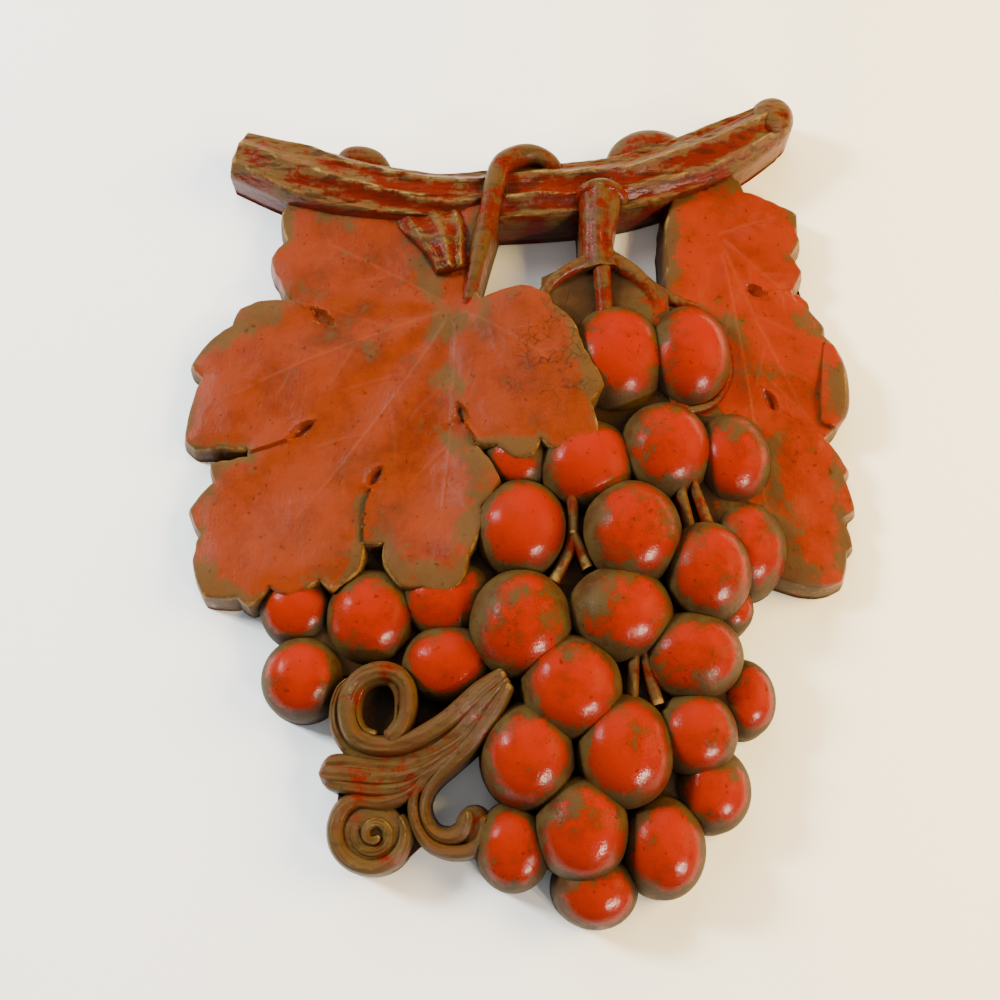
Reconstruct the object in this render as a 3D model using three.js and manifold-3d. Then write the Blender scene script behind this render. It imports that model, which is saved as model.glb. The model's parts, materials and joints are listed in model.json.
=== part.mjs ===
// Decorative wall plaque: a bunch of grapes with two vine leaves, hanging from a branch,
// with a curled tendril scroll at its lower left. It is one casting with a flat back.
//
// Millimetres, +Z up. The back lies in the plane y = 0 and the relief stands out towards -Y,
// so "front" and "deep" below are distances out from the back. The origin is the place on
// the back where the plaque hangs, behind the middle of the branch.
import * as THREE from 'three';
import { mergeVertices } from 'three/addons/utils/BufferGeometryUtils.js';
import Module from 'manifold-3d';

const wasm = await Module();
wasm.setup();

// ---- driving dimensions -------------------------------------------------------------
const BEHIND = 2; // every form starts this far behind the back, which is then cut flat
const REACH = 160; // half the side of the block that cuts the back
const DRAFT = 2.4; // how far a leaf's wall spreads between its front edge and the back
const EDGE = 8.5; // front of a leaf's edge at the far left and right of the plaque
const SKIRT = 0.6; // how far a grape's or a bar's wall spreads down to the back
const WEB_BUNCH = 14.5; // front of the filling between the grapes, under the bunch's middle
const WEB_POCKET = 18; // and between the arches of the bunch's stalk
const WEB_TIP = 12.5; // and at the bunch's tip
const WEB_SHOULDER = 12; // and under the grapes at the left
const WEB_SCROLL = 8; // and under the scroll

const BRANCH_HALF = 13; // half of the branch's height, along most of its run
const BRANCH_FRONT = 21.5; // crest of the branch
const BRANCH_SHOULDER = 9; // where its rounded front turns into its straight wall
const BARK_RIDGES = 7; // ridges around the branch's front
const BARK_RELIEF = 0.9;
const ARCH_FALL = 4; // from an arch's front to its shoulders

const GRAPE_SIDES = 12; // flats around a grape
const GRAPE_RINGS = 3; // rings from its shoulder to its crown
const GRAPE_DOME = 0.9; // dome's height over the mean of its two half-widths
const GRAPE_FULL = 0.92; // under 1, a grape is fuller than half an oval ball
const GRAPE_ROUND = 1 / Math.sqrt(Math.cos(Math.PI / GRAPE_SIDES)); // flats lie astride the oval

const RING_HALF = 4; // half-width of the band in the upper curl
const COIL_HALF = 3.4; // half-width of the band in the lower spiral

// ---- solids -------------------------------------------------------------------------
function toManifold(geometry) {
  const bare = geometry.index ? geometry.clone() : mergeVertices(geometry);
  bare.deleteAttribute('normal');
  bare.deleteAttribute('uv');
  const merged = mergeVertices(bare, 1e-4);
  const triVerts = new Uint32Array(merged.index.array);
  const vertProperties = new Float32Array(merged.attributes.position.array);
  const solid = new wasm.Manifold(new wasm.Mesh({ numProp: 3, vertProperties, triVerts }));
  if (solid.volume() > 0) return solid;
  for (let i = 0; i < triVerts.length; i += 3) {
    [triVerts[i], triVerts[i + 1]] = [triVerts[i + 1], triVerts[i]];
  }
  return new wasm.Manifold(new wasm.Mesh({ numProp: 3, vertProperties, triVerts }));
}

function toGeometry(solid) {
  const mesh = solid.getMesh();
  const geometry = new THREE.BufferGeometry();
  const position = new Float32Array(mesh.numVert * 3);
  for (let i = 0; i < mesh.numVert; i += 1) {
    for (let k = 0; k < 3; k += 1) {
      position[i * 3 + k] = mesh.vertProperties[i * mesh.numProp + k];
    }
  }
  geometry.setAttribute('position', new THREE.BufferAttribute(position, 3));
  geometry.setIndex(Array.from(mesh.triVerts));
  geometry.computeVertexNormals();
  return geometry;
}

// A closed surface through rings of the same number of points, with a fan over each end.
function rings(loops) {
  const count = loops[0].length;
  const points = loops.flat();
  const faces = [];
  for (let s = 0; s + 1 < loops.length; s += 1) {
    for (let i = 0; i < count; i += 1) {
      const a = s * count + i;
      const b = s * count + ((i + 1) % count);
      faces.push(a, b, a + count, b, b + count, a + count);
    }
  }
  const last = (loops.length - 1) * count;
  for (let i = 0; i < count; i += 1) {
    const next = (i + 1) % count;
    faces.push(points.length, next, i, points.length + 1, last + i, last + next);
  }
  points.push(middle(loops[0]), middle(loops[loops.length - 1]));
  return indexed(points, faces);
}

function middle(loop) {
  const sum = loop.reduce((total, p) => total.add(p), new THREE.Vector3());
  return sum.divideScalar(loop.length);
}

function indexed(points, faces) {
  const geometry = new THREE.BufferGeometry();
  geometry.setAttribute(
    'position',
    new THREE.Float32BufferAttribute(points.flatMap((p) => [p.x, p.y, p.z]), 3),
  );
  geometry.setIndex(faces);
  return geometry;
}

// A value that runs evenly along t = 0..1 through the numbers given.
function run(values, t) {
  const place = Math.min(Math.max(t, 0), 1) * (values.length - 1);
  const i = Math.min(Math.floor(place), values.length - 2);
  return values[i] + (values[i + 1] - values[i]) * (place - i);
}

function smooth(from, to, value) {
  return THREE.MathUtils.smoothstep(value, from, to);
}

// A bar laid on the back along a line: an arched front between two shoulders, with walls
// that spread a little on the way down. relief(across, along) adds to its front.
function bar({ line, half, front, shoulder, steps, across = 8, relief = () => 0 }) {
  const curve = new THREE.SplineCurve(line.map(([x, z]) => new THREE.Vector2(x, z)));
  const loops = [];
  for (let s = 0; s <= steps; s += 1) {
    const t = s / steps;
    const at = curve.getPoint(t);
    const way = curve.getTangent(t);
    const side = new THREE.Vector2(-way.y, way.x);
    const width = run(half, t);
    const low = run(shoulder, t);
    const rise = run(front, t) - low;
    const place = (q, out) => new THREE.Vector3(at.x + side.x * q, -out, at.y + side.y * q);
    const loop = [place(-width - SKIRT, -BEHIND)];
    for (let i = 0; i <= across; i += 1) {
      const turn = (Math.PI * i) / across;
      const q = -Math.cos(turn);
      const out = low + rise * Math.sin(turn) ** 0.8 + relief(q, t) * Math.sin(turn);
      loop.push(place(q * width, out));
    }
    loop.push(place(width + SKIRT, -BEHIND));
    loops.push(loop);
  }
  return toManifold(rings(loops));
}

// A straight-walled plate of any outline, standing out to `front`.
function plate(outline, front) {
  const shape = new THREE.Shape(outline.map(([x, z]) => new THREE.Vector2(x, z)));
  const geometry = new THREE.ExtrudeGeometry(shape, { depth: front + BEHIND, bevelEnabled: false });
  geometry.rotateX(Math.PI / 2);
  geometry.translate(0, BEHIND, 0);
  return toManifold(geometry);
}

function join(solids) {
  return solids.reduce((whole, solid) => whole.add(solid));
}

// ---- leaves -------------------------------------------------------------------------
// A leaf's outline goes from tooth to notch to tooth, round from under the branch. Each
// stretch between two of them bows outwards, as the teeth of a vine leaf do.
const TOOTH_BOW = 0.045; // how far a stretch bows, over the distance it spans
const TOOTH_STEP = 8; // a stretch's straight pieces are about this long
const CLEAR = 34; // height of a leaf's walls before its front surface cuts them
const LEAF_CELL = 12; // side of the cells in a leaf's front surface

const LEFT_LEAF = [
  [-14, -10], [-50, 0], [-86, 2], [-95, -11], [-92.5, -23.5], [-98.5, -31], [-94.5, -41], [-90, -50],
  [-101, -49.5], [-109.5, -53], [-112, -59.5], [-121.5, -67], [-127, -75.5], [-122.5, -81.5],
  [-125.5, -91], [-126.5, -107.5], [-123, -110.5], [-113, -109.8], [-102.5, -111.4], [-102.5, -113.6], [-109, -115.2],
  [-116.5, -116], [-114.5, -123], [-123, -134], [-118, -143.5], [-119.5, -154], [-114.5, -167.5],
  [-102, -168], [-98, -171], [-90.5, -164.5], [-83, -168], [-72.5, -162], [-67.5, -166], [-58, -158],
  [-57, -149], [-50, -149], [-49.5, -156], [-43.5, -164.5], [-35, -165.5], [-29, -169], [-21.5, -163.5],
  [-19.5, -154], [-13.5, -141], [-14.5, -136.5], [-8, -126], [-10, -121], [-17, -112],
  [-9, -113], [-2.5, -118.5], [4, -117], [6.5, -111.5], [15, -116.5], [27.5, -109.5], [25, -97],
  [30, -91], [23, -77], [18.5, -64], [12, -58], [10, -53.5], [0, -49.5], [-15.5, -53], [-19, -48],
];
const RIGHT_LEAF = [
  [60, -8], [70, 6], [88, 3], [90, -2], [98.5, -5], [104, -8], [111, -11.5], [110, -18.5],
  [111, -23.5], [107, -30], [110.5, -37], [106.5, -45], [112.5, -49.5], [113, -53],
  [118.5, -60.5], [117.5, -63.5], [122, -70], [122.5, -90], [120, -99.5], [114.5, -106.5],
  [122.5, -119], [120.5, -121], [123.5, -134], [119, -137], [121.5, -147.5], [119, -150],
  [116, -161.5], [106, -164], [90, -159], [66, -140], [56, -100], [57, -40],
];

function leafEdge(points) {
  const corners = points.map(([x, z]) => new THREE.Vector2(x, z));
  if (THREE.ShapeUtils.isClockWise(corners)) corners.reverse();
  const edge = [];
  corners.forEach((from, i) => {
    const to = corners[(i + 1) % corners.length];
    const bow = to.clone().sub(from).rotateAround(new THREE.Vector2(), -Math.PI / 2);
    const bend = from.clone().lerp(to, 0.5).addScaledVector(bow, 2 * TOOTH_BOW);
    const curve = new THREE.QuadraticBezierCurve(from, bend, to);
    const pieces = Math.max(1, Math.round(from.distanceTo(to) / TOOTH_STEP));
    edge.push(...curve.getPoints(pieces).slice(0, -1));
  });
  return edge;
}

// The leaf's walls: spread at the back, then straight out past its front surface.
function leafWall(edge, surface) {
  const count = edge.length;
  const away = (i) => {
    const before = edge[(i + count - 2) % count];
    const after = edge[(i + 2) % count];
    const way = after.clone().sub(before).normalize();
    return new THREE.Vector2(way.y, -way.x);
  };
  const base = edge.map((p, i) => p.clone().addScaledVector(away(i), DRAFT));
  const loops = [
    base.map((p) => new THREE.Vector3(p.x, BEHIND, p.y)),
    edge.map((p) => new THREE.Vector3(p.x, -surface(p.x, p.y) + 1, p.y)),
    edge.map((p) => new THREE.Vector3(p.x, -CLEAR, p.y)),
  ];
  const faces = [];
  for (let s = 0; s < 2; s += 1) {
    for (let i = 0; i < count; i += 1) {
      const a = s * count + i;
      const b = s * count + ((i + 1) % count);
      faces.push(a, b, a + count, b, b + count, a + count);
    }
  }
  THREE.ShapeUtils.triangulateShape(edge, []).forEach((corners) => {
    const area = THREE.ShapeUtils.area(corners.map((i) => edge[i]));
    const [a, b, c] = area > 0 ? corners : [...corners].reverse();
    faces.push(c, b, a, a + 2 * count, b + 2 * count, c + 2 * count);
  });
  return toManifold(indexed(loops.flat(), faces));
}

// A block under a surface over a rectangle of the back, in square cells.
function block([x0, x1, z0, z1], cell, surface) {
  const nx = Math.ceil((x1 - x0) / cell);
  const nz = Math.ceil((z1 - z0) / cell);
  const points = [];
  const faces = [];
  const spot = (i, k) => [x0 + ((x1 - x0) * i) / nx, z0 + ((z1 - z0) * k) / nz];
  for (const front of [true, false]) {
    for (let k = 0; k <= nz; k += 1) {
      for (let i = 0; i <= nx; i += 1) {
        const [x, z] = spot(i, k);
        points.push(new THREE.Vector3(x, front ? -surface(x, z) : BEHIND, z));
      }
    }
  }
  const row = nx + 1;
  const back = row * (nz + 1);
  const quad = (a, b, c, d) => faces.push(a, b, c, a, c, d);
  for (let k = 0; k < nz; k += 1) {
    for (let i = 0; i < nx; i += 1) {
      const a = k * row + i;
      quad(a, a + 1, a + row + 1, a + row);
      quad(back + a, back + a + row, back + a + row + 1, back + a + 1);
    }
  }
  for (let i = 0; i < nx; i += 1) {
    const top = nz * row + i;
    quad(i, back + i, back + i + 1, i + 1);
    quad(top, top + 1, back + top + 1, back + top);
  }
  for (let k = 0; k < nz; k += 1) {
    const a = k * row;
    const b = a + nx;
    quad(a, a + row, back + a + row, back + a);
    quad(b, back + b, back + b + row, b + row);
  }
  return toManifold(indexed(points, faces));
}

// Almond-shaped eyes where two lobes meet: [x, z, half-length, half-width, turn in degrees].
const EYE_HALF_DEPTH = 5;
const EYE_LIFT = 0.5; // an eye's middle stands this far out of the leaf's front
const LEFT_EYES = [
  [-77, -57.5, 7, 2.6, -35], [-82, -104, 6.5, 2.6, 32], [-54, -123, 5, 2.8, 55], [-22, -99.5, 5, 2.2, -65],
];
const RIGHT_EYES = [[91.5, -46.5, 5, 2.4, -30], [94, -92, 5.5, 2.8, -55]];

function eye([x, z, long, wide, turn], surface) {
  const cut = new THREE.SphereGeometry(1, 8, 4);
  cut.scale(long, EYE_HALF_DEPTH, wide);
  cut.rotateY(THREE.MathUtils.degToRad(-turn));
  cut.translate(x, -surface(x, z) - EYE_LIFT, z);
  return toManifold(cut);
}

// The left leaf climbs from its thin left edge. Its right lobe rises over the bunch's first
// grapes and its lower lobes over the next ones.
const STALK_FOOT = { x: -25.5, z: -56 };
const LEAF_SIDE = 125; // both leaves are thinnest this far to the side
const LEFT_SLOPE = 0.07;
const RIGHT_LOBE_LIFT = 6.5;
const LOWER_LOBE_LIFT = 4;
function leftSurface(x, z) {
  const overBunch = RIGHT_LOBE_LIFT * smooth(-40, 8, x) + LOWER_LOBE_LIFT * smooth(125, 160, -z);
  return EDGE + LEFT_SLOPE * (x + LEAF_SIDE) + overBunch + quilt(x, z, STALK_FOOT, LEFT_VEINS);
}

// The right leaf falls away from the bunch to its thin right edge.
const RIGHT_FOOT = { x: 78, z: -22 };
const RIGHT_SLOPE = 0.09;
function rightSurface(x, z) {
  return EDGE + RIGHT_SLOPE * (LEAF_SIDE - x) + quilt(x, z, RIGHT_FOOT, RIGHT_VEINS);
}

// Main veins run from a leaf's foot at these angles, in degrees. The surface sinks into
// each of them and swells between two.
const LEFT_VEINS = [150, 187, 226, 262, 305];
const RIGHT_VEINS = [20, 320, 290, 262];
const SWELL = 1;
const SWELL_START = 18; // full height this far from the foot
const SWELL_SPREAD = 18; // and this many degrees from a vein

function quilt(x, z, foot, veins) {
  const away = Math.hypot(x - foot.x, z - foot.z);
  const angle = (THREE.MathUtils.radToDeg(Math.atan2(z - foot.z, x - foot.x)) + 360) % 360;
  const off = Math.min(...veins.map((v) => Math.abs(((angle - v + 540) % 360) - 180)));
  return SWELL * smooth(0, SWELL_SPREAD, off) * smooth(0, SWELL_START, away);
}

function leaf(points, surface, eyes, frame) {
  const edge = leafEdge(points);
  const body = leafWall(edge, surface).intersect(block(frame, LEAF_CELL, surface));
  return eyes.reduce((rest, row) => rest.subtract(eye(row, surface)), body);
}

// ---- grapes -------------------------------------------------------------------------
// Centre x, z, half-widths across and up, and how far the crown stands out.
const GRAPES = [
  [36, -76, 19.5, 22.5, 27.5], [63.5, -75, 17, 21.5, 26], [24, -118.5, 19, 18.5, 26.5], [53, -113, 17.5, 19, 28],
  [78, -115.5, 14.5, 18, 24], [-1, -115, 13.5, 14, 22], [-0.5, -143, 17.5, 19, 28], [39.5, -145, 18, 19.5, 32],
  [66, -159, 16, 18.5, 29], [82, -149, 15, 18.5, 21], [74, -171, 9.5, 10, 16], [-0.5, -178, 18.5, 20, 31],
  [34.5, -174, 19, 17.5, 30], [59.5, -189, 18, 16, 28], [-26, -167, 19, 17, 20], [-54.5, -174, 16.5, 18, 20],
  [-81.5, -170, 14, 14.5, 15.5], [-78, -196, 15, 15.2, 18.5], [-25.5, -191, 17.5, 14.5, 21.5], [16.5, -200, 18, 18.5, 31],
  [78, -203, 11.5, 14, 17], [59.5, -215.5, 14.5, 15, 25], [1.5, -223, 16.5, 18.5, 29], [34.5, -221.5, 17, 19.5, 30],
  [65, -234, 13.5, 15, 20], [-3.5, -253, 13, 15, 21], [19.5, -247, 16, 17.5, 28], [47, -253, 14.5, 17, 24],
  [24, -266.5, 14.5, 13, 20],
];

function grape([x, z, wide, tall, crown]) {
  const dome = GRAPE_DOME * (wide + tall) * 0.5;
  const shoulder = Math.max(crown - dome, 1);
  return boss([x, z, wide * GRAPE_ROUND, tall * GRAPE_ROUND], shoulder, crown, GRAPE_FULL);
}

// An oval dome from `shoulder` to `crown`, on walls that run down to the back.
function boss([x, z, wide, tall], shoulder, crown, full = 1) {
  const profile = [new THREE.Vector2(0, -BEHIND), new THREE.Vector2(1 + SKIRT / wide, -BEHIND)];
  for (let i = 0; i <= GRAPE_RINGS; i += 1) {
    const turn = (Math.PI / 2) * (i / GRAPE_RINGS);
    const out = shoulder + (crown - shoulder) * Math.sin(turn) ** full;
    profile.push(new THREE.Vector2(i === GRAPE_RINGS ? 0 : Math.cos(turn) ** full, out));
  }
  const body = new THREE.LatheGeometry(profile, GRAPE_SIDES);
  body.scale(wide, 1, tall);
  body.rotateX(Math.PI);
  body.translate(x, 0, z);
  return toManifold(body);
}

// ---- branch, stalks and stems -------------------------------------------------------
function bark(ridges, depth) {
  return (q, t) => depth * Math.sin(Math.acos(THREE.MathUtils.clamp(q, -1, 1)) * ridges + 9 * t);
}

function branch() {
  const stem = bar({
    line: [
      [-113.5, 14.5], [-88, 5], [-62, -3], [-30, -7.5], [2, -6],
      [34, -2.5], [60, 5.5], [84, 17], [105, 30],
    ],
    half: [11, 13.5, BRANCH_HALF, 11.8, BRANCH_HALF, BRANCH_HALF, 12.8, 12, 9],
    front: [18, 20, 20.5, BRANCH_FRONT, BRANCH_FRONT, BRANCH_FRONT, BRANCH_FRONT, 21, 19],
    shoulder: [8, BRANCH_SHOULDER, BRANCH_SHOULDER, BRANCH_SHOULDER, 12, 13, 13, 10, 9],
    steps: 12,
    across: 9,
    relief: bark(BARK_RIDGES, BARK_RELIEF),
  });
  const knob = boss([102, 28.5, 9, 9.5], 14, 21);
  const rearKnot = bar({
    line: [[-72, 9], [-69, 14.5], [-60, 13.5], [-54.5, 7]],
    half: [3.5, 4.8, 4.8, 4],
    front: [9, 12, 12, 10],
    shoulder: [6, 8, 8, 6],
    steps: 7,
  });
  const rearLoop = boss([53, 8.5, 18.5, 16.5], 12, 18);
  const stub = bar({
    line: [[-34, -4], [-33, -14], [-30, -22], [-28, -33], [-27, -41.5]],
    half: [15, 14, 9.5, 6.2, 5.2],
    front: [16.5, 18.5, 21.5, 22.5, 22.5],
    shoulder: [14, 15.5, 17.5, 18.5, 18.5],
    steps: 5,
    across: 7,
    relief: bark(5, 0.8),
  });
  return join([stem, knob, rearKnot, rearLoop, stub]);
}

// The left leaf's stalk climbs over the branch and curls down behind it.
function leafStalk() {
  return bar({
    line: [
      [-20.5, -56], [-18, -42.5], [-15, -29], [-12, -16], [-10, -5],
      [-7, 4], [-0.5, 9], [6, 10], [12, 7], [15, 1],
    ],
    half: [2.8, 3.1, 3.5, 3.9, 4.2, 4.3, 4.2, 4, 4, 4],
    front: [18, 21.5, 24, 25.2, 25.5, 25, 23.5, 22, 20, 17],
    shoulder: [15, 17.5, 19.5, 20.5, 21, 20, 18, 16, 14, 11],
    steps: 12,
    across: 4,
  });
}

// The bunch's own stalk forks over the branch and parts into arches above the first grapes.
function bunchStalk() {
  const cap = bar({
    line: [[20, -11.5], [25, -9], [31, -7.5], [37, -8.5], [42, -12]],
    half: [3, 4, 4.5, 4, 3], front: [20, 25, 26.5, 25, 20], shoulder: [14, 16, 17, 16, 14], steps: 8,
  });
  const stalk = bar({
    line: [[31, -8], [30.5, -18], [29.5, -29], [30.5, -41]],
    half: [9, 7.5, 6, 7.5], front: [26, 26, 24.5, 23], shoulder: [17, 18, 18, 17], steps: 8,
  });
  const arch = (line, half, front) => bar({
    line, half, front, shoulder: front.map((out) => out - ARCH_FALL), steps: 2 * line.length, across: 4,
  });
  return join([
    cap,
    stalk,
    arch([[25, -38], [15.5, -43], [9, -50], [7, -60]], [3, 2.6, 2.6, 2.4], [22, 21, 19, 17]),
    arch([[34, -36], [44, -43], [50, -51], [52, -62]], [3.5, 3.4, 3, 2.5], [22, 21, 19, 17]),
    arch([[31, -38], [31.3, -48], [32, -58]], [2.6, 2.4, 2.6], [22, 20, 19]),
    arch(
      [[46, -45], [58, -52], [70, -57.5], [77.5, -69], [78, -83], [72, -94], [62, -98]],
      [3.5, 3, 2.2, 2, 2, 2, 2],
      [19, 17, 16, 15, 15, 16, 17],
    ),
    plate([[8, -44], [22, -37], [42, -37], [56, -50], [58, -80], [10, -80]], WEB_POCKET),
  ]);
}

// Short stems that show in the gaps between the grapes.
function stems() {
  const rows = [
    [[18, -136], [17.8, -148], [11, -163]], [[17.8, -148], [23.5, -158]],
    [[57, -131], [60.5, -144]], [[61.5, -131], [67.5, -142]],
    [[39.5, -186], [37.5, -205]], [[39.5, -188], [46.5, -206]],
  ];
  return join(rows.map((line) => bar({
    line, half: [1.6, 1.8], front: [22, 20], shoulder: [18, 16], steps: 1, across: 3,
  })));
}

// ---- scroll -------------------------------------------------------------------------
function flutes(count, depth) {
  return (q) => depth * Math.cos(q * Math.PI * count);
}

// A flat spiral line about a centre: radius runs evenly through `radii` as it turns.
function spiral(cx, cz, radii, startDegrees, turnDegrees, count) {
  return Array.from({ length: count }, (_, i) => {
    const t = i / (count - 1);
    const a = THREE.MathUtils.degToRad(startDegrees + turnDegrees * t);
    const r = run(radii, t);
    return [cx + r * Math.cos(a), cz + r * Math.sin(a)];
  });
}

function scroll() {
  const strap = bar({
    line: [[-4, -195.5], [-13, -205.5], [-24, -215], [-37, -222.5], [-52, -227], [-64, -228.5]],
    half: [5, 6, 7.5, 9.5, 9, 7],
    front: [24, 24, 22.5, 20, 18, 15],
    shoulder: [18, 17, 14, 12, 11, 10],
    steps: 9,
    across: 9,
    relief: flutes(3, 0.9),
  });
  const tip = grape([-64, -228.5, 6, 7, 15]);
  const upperCurl = bar({
    line: spiral(-51.5, -204.5, [15.5, 13, 12, 11.5], 290, -400, 16),
    half: [4.5, RING_HALF, 3.4, 2.6],
    front: [18, 20, 21, 19],
    shoulder: [10, 12, 13, 12],
    steps: 15,
    across: 4,
  });
  const outerCoil = bar({
    line: spiral(-51, -246.5, [13, 11.6, 10.5], 130, 330, 12),
    half: [3.4, COIL_HALF, 3], front: [15, 15, 16], shoulder: [9, 9, 9], steps: 12, across: 4,
  });
  const innerCoil = bar({
    line: spiral(-50, -248, [6.6, 3.6], 40, 330, 10),
    half: [2.6, 2], front: [16, 17], shoulder: [11, 12], steps: 9, across: 4,
  });
  const hook = bar({
    line: [
      [-31, -226], [-35.5, -235], [-35.5, -245], [-28, -252.5],
      [-19, -252.5], [-13.5, -247], [-15, -241.5], [-19.5, -242],
    ],
    half: [3.5, 3.2, 3.6, 4.6, 5, 4, 3.2, 3],
    front: [19, 16, 15, 15, 15, 15, 15, 14],
    shoulder: [12, 10, 9, 9, 9, 9, 9, 9],
    steps: 14,
    across: 4,
  });
  const floor = plate([
    [-66, -205], [-60, -192], [-20, -190], [-8, -200], [-18, -216], [-31, -230], [-34, -252],
    [-44, -261], [-60, -259], [-65, -246], [-62, -222],
  ], WEB_SCROLL);
  return join([strap, tip, upperCurl, outerCoil, innerCoil, hook, floor]);
}

// ---- the whole casting --------------------------------------------------------------
function filling() {
  return join([
    plate([[8, -70], [60, -70], [76, -100], [84, -150], [74, -175], [12, -175], [-12, -135], [-8, -100]],
      WEB_BUNCH),
    plate([[-22, -180], [-20, -150], [76, -150], [72, -205], [60, -225], [-8, -215]], WEB_BUNCH),
    plate([[-6, -215], [60, -215], [56, -245], [30, -262], [0, -252], [0, -232]], WEB_TIP),
    plate([[-82, -160], [-64, -140], [-40, -140], [-10, -150], [-8, -195], [-74, -195]], WEB_SHOULDER),
  ]);
}

// The right leaf's right edge curls over as a short roll.
function roll() {
  return bar({
    line: [[118.5, -67], [119.5, -76.5], [119.5, -86], [118.5, -95], [115.5, -102]],
    half: [2, 4.6, 5.6, 5.4, 3],
    front: [11, 12.5, 13, 13, 12],
    shoulder: [8.5, 10, 10, 10, 9.5],
    steps: 6,
    across: 4,
  });
}

function casting() {
  const whole = join([
    leaf(LEFT_LEAF, leftSurface, LEFT_EYES, [-130, 33, -174, 5]),
    leaf(RIGHT_LEAF, rightSurface, RIGHT_EYES, [53, 127, -168, 9]),
    roll(),
    ...GRAPES.map(grape),
    branch(),
    leafStalk(),
    bunchStalk(),
    stems(),
    scroll(),
    filling(),
  ]);
  const side = 2 * REACH;
  const room = new THREE.BoxGeometry(side, REACH, 2 * side);
  room.translate(0, -REACH / 2, 0);
  return whole.intersect(toManifold(room));
}

const paint = new THREE.MeshStandardMaterial({ color: '#b8401c', roughness: 0.38, metalness: 0.1 });
paint.name = 'worn_red_paint';

const plaque = new THREE.Mesh(toGeometry(casting()), paint);
plaque.name = 'plaque';

const group = new THREE.Group();
group.name = 'wall_plaque';
group.add(plaque);

export default group;
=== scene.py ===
import json
import math

import bpy
import numpy as np
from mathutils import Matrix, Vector
from mathutils.geometry import delaunay_2d_cdt

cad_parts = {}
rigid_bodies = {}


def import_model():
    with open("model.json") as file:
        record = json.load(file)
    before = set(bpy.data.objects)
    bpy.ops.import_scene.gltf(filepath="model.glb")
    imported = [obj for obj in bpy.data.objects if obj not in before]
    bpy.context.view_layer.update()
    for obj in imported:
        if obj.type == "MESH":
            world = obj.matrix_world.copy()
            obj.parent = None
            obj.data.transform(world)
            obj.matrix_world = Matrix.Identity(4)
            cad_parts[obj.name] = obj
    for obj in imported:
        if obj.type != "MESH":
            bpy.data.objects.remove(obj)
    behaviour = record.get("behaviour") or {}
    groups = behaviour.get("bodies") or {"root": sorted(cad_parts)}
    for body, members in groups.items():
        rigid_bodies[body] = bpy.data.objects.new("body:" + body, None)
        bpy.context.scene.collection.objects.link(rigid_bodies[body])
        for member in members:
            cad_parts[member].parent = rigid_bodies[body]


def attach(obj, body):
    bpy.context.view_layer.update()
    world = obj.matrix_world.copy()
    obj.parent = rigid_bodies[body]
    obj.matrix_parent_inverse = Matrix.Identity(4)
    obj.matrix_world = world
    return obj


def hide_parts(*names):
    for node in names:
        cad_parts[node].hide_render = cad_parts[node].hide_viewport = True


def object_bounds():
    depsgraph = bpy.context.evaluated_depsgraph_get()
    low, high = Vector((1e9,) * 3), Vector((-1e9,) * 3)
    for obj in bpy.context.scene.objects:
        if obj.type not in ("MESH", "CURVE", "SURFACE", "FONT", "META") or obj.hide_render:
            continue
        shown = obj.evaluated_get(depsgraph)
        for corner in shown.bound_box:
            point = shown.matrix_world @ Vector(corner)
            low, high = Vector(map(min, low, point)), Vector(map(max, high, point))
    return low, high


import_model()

cad_box = [list(corner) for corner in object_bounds()]


# ---- the view ---------------------------------------------------------------------------
# The plaque is seen from below its middle, at arm's length, by a phone-like lens that looks
# up a little, so the walls that face down show and those that face up are hidden.
LOOK_UP = math.radians(16.2)
LENS_MM = 39.6
SENSOR_MM = 36.0
EYE = (-0.008, -0.400, -0.244)

camera_data = bpy.data.cameras.new("view")
camera_data.lens = LENS_MM
camera_data.sensor_width = SENSOR_MM
camera = bpy.data.objects.new("view", camera_data)
camera.location = EYE
camera.rotation_euler = (math.pi / 2 + LOOK_UP, 0.0, 0.0)
bpy.context.collection.objects.link(camera)
bpy.context.scene.camera = camera


# ---- the branch -------------------------------------------------------------------------
# The whole plaque is one casting in moulded composition. Its top is a knobbly vine branch,
# about 230 mm long, an arched bar on the flat back with bark ridges along its front.
MM = 0.001
BEHIND = 2.0  # every form starts this far behind the back, which is then cut flat
SKIRT = 0.6  # spread of a wall down to the back
BRANCH_FRONT = 21.5
BARK_RIDGES = 8  # round the arch
BARK_HIGH = 2.0
STREAKS_HIGH = 0.7
BARK_GROWS = 16.0  # the ridges grow to their height over this length from a cut end
DOME_TURN = 0.985 * math.pi / 2  # a dome's last ring stops just short of its crown
UNEVEN = ((0.3, 8.0, 40), (0.1, 3.3, 90))  # lumps of a dome: height, cell size, first seed

forms = []  # the shapes that the casting is joined from: (points in mm, triangles, finish)
BARK, RED, STEM = 0, 1, 2  # finishes: bronzed bark, rubbed red, red over bronze on stems


def smooth(low, high, value):
    """An eased step: 0 up to low, 1 from high, a cubic in between."""
    t = np.clip((value - low) / (high - low), 0.0, 1.0)
    return t * t * (3.0 - 2.0 * t)


def lumps(x, z, size, seed):
    """Random heights, -1 to 1, at the corners of square cells of this size, eased between."""
    table = np.random.default_rng(seed).uniform(-1.0, 1.0, (64, 64))
    i = np.floor(x / size).astype(int)
    k = np.floor(z / size).astype(int)
    a = smooth(0.0, 1.0, x / size - i)
    b = smooth(0.0, 1.0, z / size - k)
    low = table[i % 64, k % 64] * (1 - a) + table[(i + 1) % 64, k % 64] * a
    high = table[i % 64, (k + 1) % 64] * (1 - a) + table[(i + 1) % 64, (k + 1) % 64] * a
    return low * (1 - b) + high * b


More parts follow.
